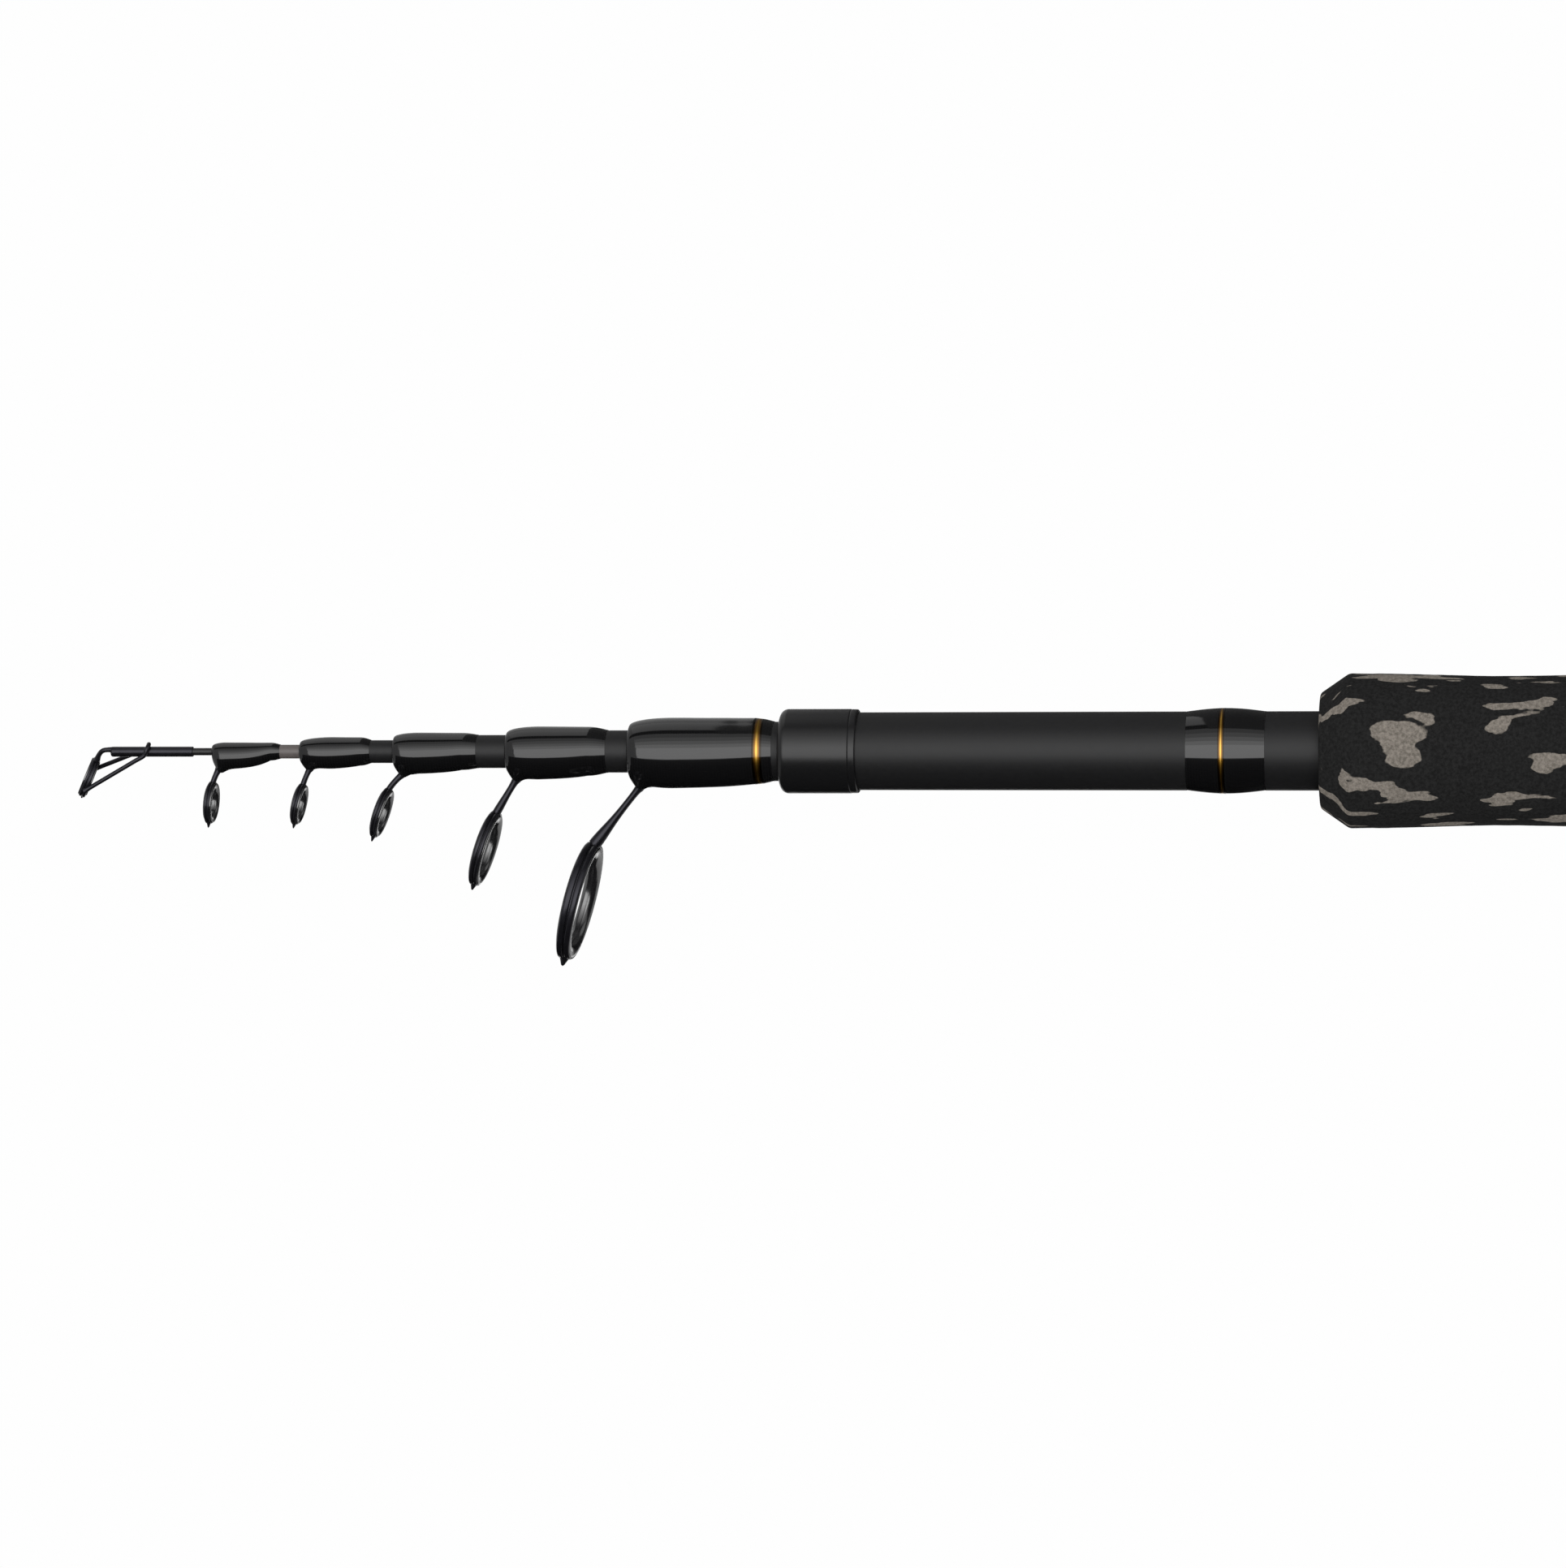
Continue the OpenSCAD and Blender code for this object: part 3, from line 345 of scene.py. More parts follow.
# %% [markdown]
# ## Blank material
# A rod's blank is carbon fibre rolled on a mandrel under tape, then sanded and painted with a matt
# lacquer. The eye sees a soft, broad highlight along the tube and a very fine grain. The paint is nearly
# black, so almost all that shows is its gloss. A rough reflection gives that; the grain only varies it a
# little.

# %% Matt painted carbon
def grained(name, colour, roughness, gloss, grain_mm, depth_mm, detail=2.0, fine=0.5, swing=0.02, tint=0.2,
            strength=0.3):
    """A surface whose grain swings its roughness by swing and its colour by tint, with a matching relief."""
    material, tree, surface = new_material(name)
    grain = grain_noise(tree, grain_mm, detail, fine)
    tone = ranged(tree, grain, 1 - tint, 1 + tint)
    shade = result(tree, "VectorMath", {0: linear(colour)[:3], "Scale": tone}, operation="SCALE")
    set_inputs(tree, surface, {
        "Base Color": shade, "Specular IOR Level": gloss,
        "Roughness": ranged(tree, grain, roughness - swing, roughness + swing),
        "Normal": relief(tree, grain, strength, depth_mm)})
    return material


PAINT = {"depth_mm": 0.02, "detail": 3.0, "fine": 0.65, "swing": 0.06, "tint": 0.25, "strength": 0.12}
black_carbon = grained("matt painted carbon fibre", "#161617", 0.5, 0.35, 0.9, **PAINT)
bare_graphite = grained("sanded bare graphite", "#5b5553", 0.42, 0.5, 0.7, **PAINT)
tip_glass = grained("black solid glass fibre", "#1b1a1a", 0.4, 0.45, 0.7, **PAINT)

# %% [markdown]
# ## Wrap lacquer
# Each guide's foot is bound to the blank with thread and flooded with clear epoxy, turned while it sets.
# It looks like black glass with the winding just visible inside. The winding is the base layer with fine
# ridges; the epoxy is the coat, which stays smooth because it has its own normal.

# %% Epoxy over black thread
THREAD_MM = 0.6  # two turns of medium winding thread, drawn as one so that they show


def thread_ridges(tree, pitch_mm):
    """Bands across the rod. At a scale of 1, a wave texture's bands repeat every pi / 10."""
    ridges = add_node(tree, "TexWave", {
        "Vector": coordinates(tree), "Scale": per_mm(pitch_mm) * pi / 10, "Distortion": 0.4, "Detail": 1.0})
    return ridges.outputs["Fac"]


epoxy_wrap, tree, surface = new_material("clear epoxy over black thread")
ridges = thread_ridges(tree, THREAD_MM)
set_inputs(tree, surface, {
    "Base Color": blend(tree, ridges, "#0a0a0b", "#0f0f10"), "Normal": relief(tree, ridges, 0.1, 0.02),
    "Roughness": 0.45, "Specular IOR Level": 0.05,
    "Coat Weight": 1.0, "Coat Roughness": 0.06, "Coat IOR": 1.52})

# %% [markdown]
# ## Gold thread
# The trim bands are metallic thread: fine turns of gilt foil, so the highlight breaks into threads. Painted
# shade turns both edges of a band brown, and a painted highlight makes the middle turns bright.

# %% Metallic gold thread
GOLD_MM = 1.0  # real turns are about 0.2 mm apart, drawn coarser so that they show
# The brown at a band's edges is painted shade, and the bright middle stop is a painted highlight.
PAINTED_EDGE_SHADE = "#251a08"
GILT_AND_PAINTED_HIGHLIGHT = ((0.36, "#8f6420"), (0.5, "#deb04a"), (0.64, "#8f6420"))

gold_thread, tree, surface = new_material("metallic gold thread")
across = add_node(tree, "SeparateXYZ", {0: coordinates(tree, "Generated")})
# The ramp runs across the band's width: painted shade at both edges, gold between, a painted highlight in
# the middle.
gilt_with_painted_light = add_node(tree, "ValToRGB", {"Fac": across.outputs["X"]})
stops = gilt_with_painted_light.color_ramp.elements
for stop, position in zip(stops, (0.14, 0.86)):
    stop.position = position
    stop.color = linear(PAINTED_EDGE_SHADE)
for position, colour in GILT_AND_PAINTED_HIGHLIGHT:
    stops.new(position).color = linear(colour)
set_inputs(tree, surface, {
    "Base Color": gilt_with_painted_light.outputs["Color"], "Normal": relief(tree, thread_ridges(tree, GOLD_MM), 0.5, 0.05),
    "Metallic": 1.0, "Roughness": 0.32, "Coat Weight": 0.6, "Coat Roughness": 0.1})

# %% [markdown]
# ## Guide frame and ring
# Frames are stamped stainless steel with a black vapour-deposited coat, which keeps some of the metal's
# sheen and a slight violet-blue cast. The rings in them are polished black zirconia ceramic: hard, and
# with a far higher index than glass, so their reflections are bright and crisper than the frame's.

# %% Coated steel and ceramic
coated_steel, tree, surface = new_material("black coated stainless steel")
wear = grain_noise(tree, 1.5, 4.0)
set_inputs(tree, surface, {
    "Base Color": blend(tree, wear, "#242428", "#333238"), "Roughness": ranged(tree, wear, 0.22, 0.38),
    "Metallic": 0.75})

oxide_ceramic, tree, surface = new_material("polished black zirconia ceramic")
crystal = grain_noise(tree, 0.8, 2.0)
set_inputs(tree, surface, {
    "Base Color": blend(tree, crystal, "#141415", "#222224"), "Roughness": 0.2, "IOR": 2.15})

# %% [markdown]
# ## Camouflage foam
# The grips are turned from a block of closed-cell EVA foam, built up from black and grey-beige sheets. The
# cut gives broad, ragged patches where it runs along a sheet, facing the camera, and thin streaks near the
# top and bottom, where it runs across. So the pattern is a solid one: 3-D noise squeezed across the
# sheets. Fine pores give both colours their speckle and a dead matt surface.

# %% EVA foam
PATCH_MM, RAG_MM, PORE_MM = 9.0, 5.0, 0.7
RAG_SHIFT_MM = 4.0
SHEET_SQUEEZE = (0.72, 3.2, 1.1)
BLOCK_START = (0.013, 0.02, 0.031)
PATCH_EDGE = (0.588, 0.6)  # the noise is pale above these levels

camo_foam, tree, surface = new_material("camouflage EVA foam")
squeezed = result(tree, "Mapping", {
    "Vector": coordinates(tree), "Scale": SHEET_SQUEEZE, "Location": BLOCK_START})
ragged = add_node(tree, "TexNoise", {"Vector": squeezed, "Scale": per_mm(RAG_MM), "Detail": 3.0})
shift = result(tree, "VectorMath", {0: ragged.outputs["Color"], 1: (0.5, 0.5, 0.5)}, operation="SUBTRACT")
shift = result(tree, "VectorMath", {0: shift, "Scale": RAG_SHIFT_MM * MM}, operation="SCALE")
bent = result(tree, "VectorMath", {0: squeezed, 1: shift}, operation="ADD")
patches = grain_noise(tree, PATCH_MM, 1.5, 0.45, bent)
is_pale = ranged(tree, patches, 0.0, 1.0, *PATCH_EDGE)
pores = grain_noise(tree, PORE_MM, 2.0, 0.7)
speckle = ranged(tree, pores, 0.0, 1.0, 0.35, 0.65)
dark = blend(tree, speckle, "#161616", "#232323")
pale = blend(tree, speckle, "#635e57", "#857e76")
set_inputs(tree, surface, {
    "Base Color": blend(tree, is_pale, dark, pale), "Normal": relief(tree, pores, 0.35, 0.12),
    "Roughness": 0.92, "Specular IOR Level": 0.12})

# %% [markdown]
# ## Plastics, cork and rubber
# The seat, cap, ferrule and plug are injection-moulded glass-filled nylon, black all through, with the
# fine spark-eroded texture of the mould. Cork arbors, the rubber bumper and the damper are mostly hidden.

# %% Moulded and soft materials
cap_nylon = grained("moulded black nylon", "#131314", 0.3, 0.42, 0.5, 0.001)
seat_nylon = grained("spark-textured glass-filled nylon", "#151516", 0.42, 0.45, 0.8, 0.03)
cork = grained("pressed cork", "#8d6a44", 0.85, 0.2, 1.6, 0.2)
bumper_rubber = grained("moulded black rubber", "#121212", 0.7, 0.3, 0.9, 0.04)
damper_rubber = grained("brown rubber-bonded cork", "#52402f", 0.85, 0.2, 1.2, 0.15)

# %% [markdown]
# ## Dressing the CAD nodes
# Pieces whose CAD shape is already right only need their material. The record's slot names say what each
# node is made of, so one table dresses them all.

# %% Assign materials
FINISH = {
    "carbon_blank": black_carbon, "bare_blank": bare_graphite, "tip_blank": tip_glass,
    "lacquer": epoxy_wrap, "gold_thread": gold_thread, "guide_frame": coated_steel,
    "ring_ceramic": oxide_ceramic, "camo_foam": camo_foam, "seat_plastic": seat_nylon,
    "fitting_plastic": cap_nylon, "arbor_cork": cork, "damper_rubber": damper_rubber,
    "seal_rubber": bumper_rubber,
}
slot_of = {part["node"]: part["material_slot"] for part in frame["record"]["subparts"]}
bodies = frame["record"]["behaviour"]["bodies"]
body_of = {node: body for body, members in bodies.items() for node in members}
for name, thing in nodes.items():
    thing.data.materials.clear()
    thing.data.materials.append(FINISH[slot_of[name]])
print("dressed:", len(nodes))

# %% [markdown]
# ## Helpers for turned pieces
# Nearly everything on a rod is round, so one function turns a closed profile of (radius, distance) points
# into a mesh, and lets the radius change on the way round for flutes, bulges and foam. Others round a
# profile's corners, because no real edge is sharp, and it is the rounding that catches the light. Pieces
# are drawn in millimetres, with Z rearward along the rod and X down, and a matrix takes them to their
# place.

# %% Profiles and turning
ORIGIN_S = 394.75  # millimetres from the butt section's mouth to the model's origin
SIDES = 128


def station(s):
    """A place on the rod's axis, s millimetres behind the butt section's mouth."""
    along = Matrix.Translation((s - ORIGIN_S, 0, 0))
    return Matrix.Scale(MM, 4) @ along @ Matrix.Rotation(radians(90), 4, "Y")


def fractions(count):
    return [k / count for k in range(count + 1)]


def circle(count):
    return [2 * pi * k / count for k in range(count)]


def quarter(count):
    return [pi / 2 * k / count for k in range(count + 1)]


def curve(start, control, end, t):
    """The point at t, from 0 to 1, of a curve that leans from its ends towards control."""
    return start * (1 - t) ** 2 + control * (2 * t * (1 - t)) + end * t ** 2


def rounded(profile, radius, steps=5):
    """Rounds the inner corners of an open profile, as far as its edges allow."""
    points = [Vector(p) for p in profile]
    out = [points[0]]
    for before, corner, after in zip(points, points[1:], points[2:]):
        a, b = before - corner, after - corner
        reach = min(radius, a.length * 0.45, b.length * 0.45)
        start, end = corner + a.normalized() * reach, corner + b.normalized() * reach
        out += [curve(start, corner, end, t) for t in fractions(steps)]
    return [tuple(p) for p in out + [points[-1]]]


def skin_faces(rows, sides, first=0, closed=False):
    """Faces between rings of points; closed also joins the last ring to the first."""
    faces = []
    for k in range(rows if closed else rows - 1):
        a, b = first + k * sides, first + (k + 1) % rows * sides
        faces += [(a + m, a + (m + 1) % sides, b + (m + 1) % sides, b + m) for m in range(sides)]
    return faces


def turned(profile, sides=SIDES, swell=None):
    """A closed profile turned round Z; swell(r, a, z) gives the radius at an angle a from X."""
    points = []
    for r, z in profile:
        for a in circle(sides):
            at = swell(r, a, z) if swell else r
            points.append((at * cos(a), at * sin(a), z))
    return points, skin_faces(len(profile), sides, closed=True)


# %% [markdown]
# ## Pieces
# A finished piece takes the material of the CAD node that it stands for, and rides on the same body, so it
# moves with the joints. Weighted normals keep the broad faces between two rounded edges flat to the light.

# %% Pieces
SHARP_DEG = 40  # edges that turn by more than this stay sharp


def make_piece(name, node, place, shape):
    """A smooth-shaded piece that stands for a CAD node and rides on its body."""
    points, faces = shape
    mesh = bpy.data.meshes.new(name)
    mesh.from_pydata([place @ Vector(p) for p in points], [], faces)
    mesh.validate()
    mesh.shade_smooth()
    mesh.set_sharp_from_angle(angle=radians(SHARP_DEG))
    mesh.materials.append(FINISH[slot_of[node]])
    piece = bpy.data.objects.new(name, mesh)
    scene.collection.objects.link(piece)
    outward = bmesh.new()
    outward.from_mesh(mesh)
    bmesh.ops.recalc_face_normals(outward, faces=outward.faces)
    outward.to_mesh(mesh)
    outward.free()
    even = piece.modifiers.new("even shading", "WEIGHTED_NORMAL")
    even.keep_sharp = True
    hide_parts(node)
    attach(piece, body_of[node])
    print(name, "points:", len(mesh.vertices))
    return piece


# %% [markdown]
# ## How the sections nest
# Each section's rear end is just wider than the mouth ahead of it, so all radii follow from the tip's. The
# same sums are in the CAD source; repeating them here keeps the new wraps tight on their blanks. Every
# list runs from the tip to the butt, and lengths are in millimetres.

# %% Section radii
TIP_D = 1.63
RISE = [0.45, 0.70, 1.05, 0.55, 2.10, 2.00, 0.95]
WALL = [0.46, 0.63, 0.61, 0.68, 0.88, 1.12]
OVERLAP = [45, 50, 55, 60, 65, 70]
WRAP_L = [15.4, 15.9, 18.8, 22.5, 32.1]
BARE = [4.43, 4.6, 5.31, 6.56, 4.99, 1.44]
TUBE_L = 18.7
SECTION_REAR, BUTT_REAR = 462.05, 472.25
NOSE_L, WRAP_LIP, CAP_LIP = 1.5, 1.5, 2.0  # what closes each blank's front: the tip tube, a wrap or the cap
GLUE = 0.03
WEDGE = 0.05  # by how much a rear end is too wide for the mouth

wrap_at = [0.0] * 6
mouth = 0.0
for i in range(5, 0, -1):
    mouth -= BARE[i] + WRAP_L[i - 1]
    wrap_at[i] = mouth
tube_s = mouth - BARE[0] - TUBE_L
front_at = [tube_s + NOSE_L] + [wrap_at[i] + WRAP_LIP for i in range(1, 6)] + [CAP_LIP]
rear_at = [SECTION_REAR] * 6 + [BUTT_REAR]
slope = [RISE[i] / 2 / (rear_at[i] - front_at[i]) for i in range(7)]
front_r, mouth_r = [TIP_D / 2], [0.0]
for i in range(1, 7):
    mouth_r.append(front_r[i - 1] + RISE[i - 1] / 2 + WEDGE - slope[i - 1] * OVERLAP[i - 1])
    front_r.append(mouth_r[i] + WALL[i - 1])


def blank_r(i, s):
    return front_r[i] + slope[i] * (s - front_at[i])


print("front radii, tip to butt:", [round(r, 2) for r in front_r])

# %% [markdown]
# ## Form of the guide wraps
# Epoxy levels itself while the rod turns: it stands in a round shoulder at the front, runs out thin at the
# tail, and sags over the guide's foot. These functions give a wrap's radius and its sag at a distance from
# its front. The lists run from section 2, next to the tip, to section 6.

# %% Wrap profile
WRAP_H = [0.46, 0.63, 0.47, 0.81, 0.84]
BELLY = [1.85, 0.70, 0.80, 0.75, 0.80]
DOME_L = [3.0, 7.5, 5.6, 7.2, 9.6]
TAIL_L = [2.2, 2.4, 3.6, 4.4, 4.4]
WRAP_EDGE = 0.2  # the lacquer's thickness at the mouth
SHOULDER = 0.9
SAG_FALL = 3.5


def dome(z, l):
    return sqrt(1 - (1 - z / l) ** 2) if z < l else 1.0


def wrap_r(i, z):
    base = blank_r(i, wrap_at[i] + WRAP_L[i - 1]) + 2 * GLUE
    edge, crown = mouth_r[i] + WRAP_EDGE, base + WRAP_H[i - 1]
    shoulder = base + WRAP_H[i - 1] * SHOULDER
    body, tail = DOME_L[i - 1], WRAP_L[i - 1] - TAIL_L[i - 1]
    if z < body:
        return edge + (crown - edge) * dome(z, body)
    if z < tail:
        return crown + (shoulder - crown) * (z - body) / (tail - body)
    return base + (shoulder - base) * cos(pi / 2 * (z - tail) / TAIL_L[i - 1])


def wrap_sag(i, z):
    tail = WRAP_L[i - 1] - TAIL_L[i - 1]
    return BELLY[i - 1] * (1 - (z / tail) ** SAG_FALL) * dome(z, DOME_L[i - 1]) if z < tail else 0.0


# %% [markdown]
# ## Guide wraps
# The CAD solid has the same form with few faces, and a glossy coat shows every one of them, so the skin is
# made again with many. The lacquer also climbs a little way up each leg as a fillet, and is never quite
# even. The last wrap has a slot for its gold band.

# %% Wraps
LEG_ROOT = [2.4, 2.3, 2.6, 2.7, 2.9]
LEG_T = [1.05, 1.05, 1.2, 1.3, 1.4]
LEG_W = [1.3, 1.3, 1.5, 1.9, 2.5]
BAND_S, BAND_W, BAND_T = -BARE[5] - 3.1, 2.1, 0.2
SLOT_DRAFT, SLOT_CLEAR = 0.02, 0.2
LIP_GAP = 0.05
SKIN_T = 0.3  # points deeper than this belong to the bore
FILLET_L, FILLET_W, FILLET_RISE, FILLET_AT = 1.5, 0.8, 2.0, 0.7
WAVE_H = 0.02
WRAP_SIDES = 96


def wrap_skin(i):
    body, tail = DOME_L[i - 1], WRAP_L[i - 1] - TAIL_L[i - 1]
    zs = [body * (1 - cos(t)) for t in quarter(18)]
    zs += [body + (tail - body) * k / 14 for k in range(1, 14)]
    zs += [tail + TAIL_L[i - 1] * k / 12 for k in range(13)]
    skin = [(wrap_r(i, z), z) for z in zs]
    if i < 5:
        return skin
    start, end = BAND_S - wrap_at[i] - BAND_W / 2, BAND_S - wrap_at[i] + BAND_W / 2
    floor_r = wrap_r(i, end) - BAND_T
    slot = [(wrap_r(i, start), start), (floor_r, start + SLOT_DRAFT)]
    slot += [(floor_r, end - SLOT_DRAFT), (wrap_r(i, end), end)]
    clear = [(r, z) for r, z in skin if not start - SLOT_CLEAR < z < end + SLOT_CLEAR]
    return sorted(clear + slot, key=lambda ring: ring[1])


def guide_wrap(i):
    l, body, root_z = WRAP_L[i - 1], DOME_L[i - 1], LEG_ROOT[i - 1] * FILLET_AT
    bore = [(blank_r(i, wrap_at[i] + z) + GLUE, z) for z in (l, WRAP_LIP + LIP_GAP)]
    lip = [(mouth_r[i] + LIP_GAP, WRAP_LIP), (mouth_r[i] + LIP_GAP, 0.0)]

    def swell(r, a, z):
        if r < wrap_r(i, z) - SKIN_T or z >= l:
            return r
        a = min(a, 2 * pi - a)
        sag = wrap_sag(i, z) * ((1 + cos(a)) / 2) ** 2
        away = ((z - root_z) / FILLET_L) ** 2 + (r * a / (FILLET_W * LEG_W[i - 1])) ** 2
        fillet = LEG_T[i - 1] * dome(z, FILLET_RISE) * exp(-away)
        wave = WAVE_H * noise.noise((z * 0.25, a * 1.2, i * 7.3)) * dome(z, body)
        return r + sag + fillet + wave

    return turned(wrap_skin(i) + bore + lip, WRAP_SIDES, swell)


for i in range(1, 6):
    part = f"section_{i + 1}"
    make_piece(f"{part}_lacquered_wrap", f"{part}_wrap", station(wrap_at[i]), guide_wrap(i))

# %% [markdown]
# ## Bars
# The guides' legs and the tip's wires are bars: rows of points carried along a path, skinned and closed at
# both ends.

# %% Bars
def bar_faces(rows, sides):
    last = (rows - 1) * sides
    ends = [tuple(range(sides)), tuple(last + m for m in reversed(range(sides)))]
    return skin_faces(rows, sides) + ends


def neighbours(path, k):
    """The points before and after the k-th one of a path, or that point itself at an end."""
    return Vector(path[max(k - 1, 0)]), Vector(path[min(k + 1, len(path) - 1)])


def swept(path, sizes, sides):
    """An oval bar along a path in the XZ plane; sizes are its (width across, thickness) at each point."""
    points = []
    for k, p in enumerate(path):
        before, after = neighbours(path, k)
        d = after - before
        normal = Vector((d.z, 0, -d.x)).normalized()
        width, thick = sizes[k]
        for a in circle(sides):
            across = Vector((0, width / 2 * sin(a), 0))
            points.append(Vector(p) + normal * (thick / 2 * cos(a)) + across)
    return points, bar_faces(len(path), sides)


# %% [markdown]
# ## Guide legs
# A frame is stamped from sheet and its leg drawn out to a slim, round-edged bar: it swells where the
# lacquer holds its root, and again where it runs into the hoop, like a stalk into its leaf. The leg is
# swept along a path that leaves the foot in a bend.

# %% Guide legs
RING_R = [4.78, 4.70, 5.80, 8.60, 13.30]
RIM_W = [0.55, 0.55, 0.65, 0.85, 1.10]
HOOP_L = [1.1, 1.1, 1.2, 1.7, 2.6]
DROP = [11.3, 11.6, 13.5, 21.4, 32.95]
AHEAD = [0.46, 0.55, 3.1, 5.1, 11.5]
LEAN = [5.5, 12.2, 18.2, 17.3, 14.4]
FOOT_T = [0.5, 0.5, 0.5, 0.55, 0.65]
FOOT_L = [8, 9, 11, 14, 20]
LEG_CURVE = [0.35, 0.35, 0.3, 0.05, 0.0]
BEND_L = 2.0
GROOVE_AT = 0.12  # where the groove between a hoop's bands lies, as a share of the hoop's length


def ring_place(i):
    """A ring's own place inside its guide: Z along the ring's axis, X down its face."""
    lean = Matrix.Rotation(radians(LEAN[i - 1]), 4, "Y")
    return Matrix.Translation((DROP[i - 1], 0, -AHEAD[i - 1])) @ lean


def leg_bar(i):
    j = i - 1
    depth = blank_r(i, wrap_at[i] + LEG_ROOT[j] + FOOT_L[j]) + 2 * GLUE + FOOT_T[j] / 2
    corner = Vector((depth, 0, LEG_ROOT[j]))
    top = ring_place(i) @ Vector((-(RING_R[j] - RIM_W[j] * 0.4), 0, GROOVE_AT * HOOP_L[j]))
    along = (top - corner).normalized()
    bend_in, bend_out = corner + Vector((0, 0, BEND_L)), corner + along * BEND_L
    face = ring_place(i).to_3x3() @ Vector((1, 0, 0))
    control = ((bend_out + top) / 2).lerp(top - face * ((top - bend_out).length * 0.55), LEG_CURVE[j])
    path = [corner + Vector((0, 0, FOOT_L[j] / 2)), corner + Vector((0, 0, FOOT_L[j] / 4))]
    path += [curve(bend_in, corner, bend_out, t) for t in fractions(8)]
    path += [curve(bend_out, control, top, t) for t in fractions(28)[1:]]
    out = wrap_r(i, LEG_ROOT[j]) + wrap_sag(i, LEG_ROOT[j]) - depth
    sizes = []
    for p in path:
        if p.z >= bend_in.z:
            sizes.append((LEG_W[j], FOOT_T[j]))
            continue
        gone, left = (p - corner).dot(along), (top - p).length
        root = exp(-max(gone - out, 0) / (0.65 * LEG_T[j]))
        ring = exp(-(left / (0.45 * RING_R[j])) ** 2)
        thick = LEG_T[j] * (1.08 + root) + (HOOP_L[j] * 1.05 - LEG_T[j]) * ring
        room = FOOT_T[j] + 1.6 * (p.x - depth)  # the root stays clear of the section that slides inside
        sizes.append((LEG_W[j] * (0.85 + 0.5 * root + 0.5 * ring), min(thick, room)))
    return swept(path, sizes, 24)


# %% [markdown]
# ## Hoops and rings
# A hoop is two crowned bands with a stamped groove between them, and a small drop is left under it. The
# ceramic ring is pressed in from the reel's side, where the hoop's rear band clasps its flange. Its bore
# flares both ways, so that the line never meets an edge.

# %% Hoops and rings
BORE_R = [2.9, 2.9, 3.7, 5.9, 9.7]
NUB_H = [0.9, 0.9, 1.0, 1.1, 1.6]
CROWN = 0.1  # how far a band is domed, as a share of the rim's width
FLANGE, LAND = 0.5, 0.3
HERE = Matrix.Identity(4)


def joined(*shapes):
    points, faces = [], []
    for place, (more, skin) in shapes:
        faces += [tuple(len(points) + v for v in face) for face in skin]
        points += [place @ Vector(p) for p in more]
    return points, faces


def hoop_ring(r, rim, l):
    seat, clasp, groove = r - rim, r - 0.6 * rim + 0.04, GROOVE_AT * l
    back, slot = l / 2 + 0.16 * l, 0.09 * l
    step = l / 2 + 0.02

    def crowned(a, b, top):
        return [(top - CROWN * rim * (2 * t - 1) ** 2, a + (b - a) * t) for t in fractions(8)]

    front = [(seat, 0), (seat, -l / 2), (r - 0.45 * rim, -l / 2)]
    front += crowned(-l / 2 + 0.25 * rim, groove - slot, r)
    bottom = [(r - 0.5 * rim, groove - 0.7 * slot), (r - 0.5 * rim, groove + 0.7 * slot)]
    rear = crowned(groove + slot, back - 0.2 * rim, r - 0.1 * rim)
    end = [(r - 0.34 * rim, back), (clasp, back), (clasp, step), (seat, step), (seat, 0.1)]
    return turned(rounded(front + bottom + rear + end, 0.1 * rim, 3), 96)


def nub(r, rim, l, height):
    """The drop under a hoop: broad where it grows out of it, rounded at its end."""
    path = [(r - rim / 2 + (rim / 2 + height) * t, 0, 0) for t in fractions(10)]
    widths = [l * (0.34 + 0.66 * (1 - t) ** 1.6) * sqrt(1.03 - t ** 8) for t in fractions(10)]
    return swept(path, [(w, w) for w in widths], 16)


def ceramic_ring(r, rim, bore, l):
    seat, outer = r - rim, r - rim + rim * 0.4
    front, rear = -l / 2 - FLANGE / 2, l / 2 + GLUE + FLANGE
    lip = (seat - bore) * 0.25
    a, b = seat - GLUE - lip - bore, outer - lip - bore
    turn = quarter(16)
    inside = [(bore + a * (1 - cos(t)), -LAND + (front + LAND) * sin(t)) for t in reversed(turn)]
    inside += [(bore + b * (1 - cos(t)), LAND + (rear - LAND) * sin(t)) for t in turn]
    edge = [(outer - lip * (1 - sin(t)), rear - lip / 2 * (1 - cos(t))) for t in turn[1::3]]
    outside = [(seat - GLUE, l / 2 + GLUE), (seat - GLUE, front + lip / 2), (seat - GLUE - lip / 2, front)]
    return turned(outside + inside + edge + [(outer, l / 2 + GLUE)])


for i in range(1, 6):
    r, rim, l = RING_R[i - 1], RIM_W[i - 1], HOOP_L[i - 1]
    hoop_shapes = [(ring_place(i), hoop_ring(r, rim, l)), (ring_place(i), nub(r, rim, l, NUB_H[i - 1]))]
    part, place = f"section_{i + 1}", station(wrap_at[i])
    make_piece(f"{part}_guide_frame", f"{part}_guide", place, joined((HERE, leg_bar(i)), *hoop_shapes))
    make_piece(f"{part}_ceramic_ring", f"{part}_ring", place @ ring_place(i),
               ceramic_ring(r, rim, BORE_R[i - 1], l))

# %% [markdown]
# ## Wires
# The line leaves the rod through a ring in a wire frame. A wire is a circle carried along a smooth path,
# and swollen at its ends where it is brazed. The path is a curve through a few points.

# %% Wire helpers
BRAZE_L, BRAZE_SWELL = 0.9, 0.3


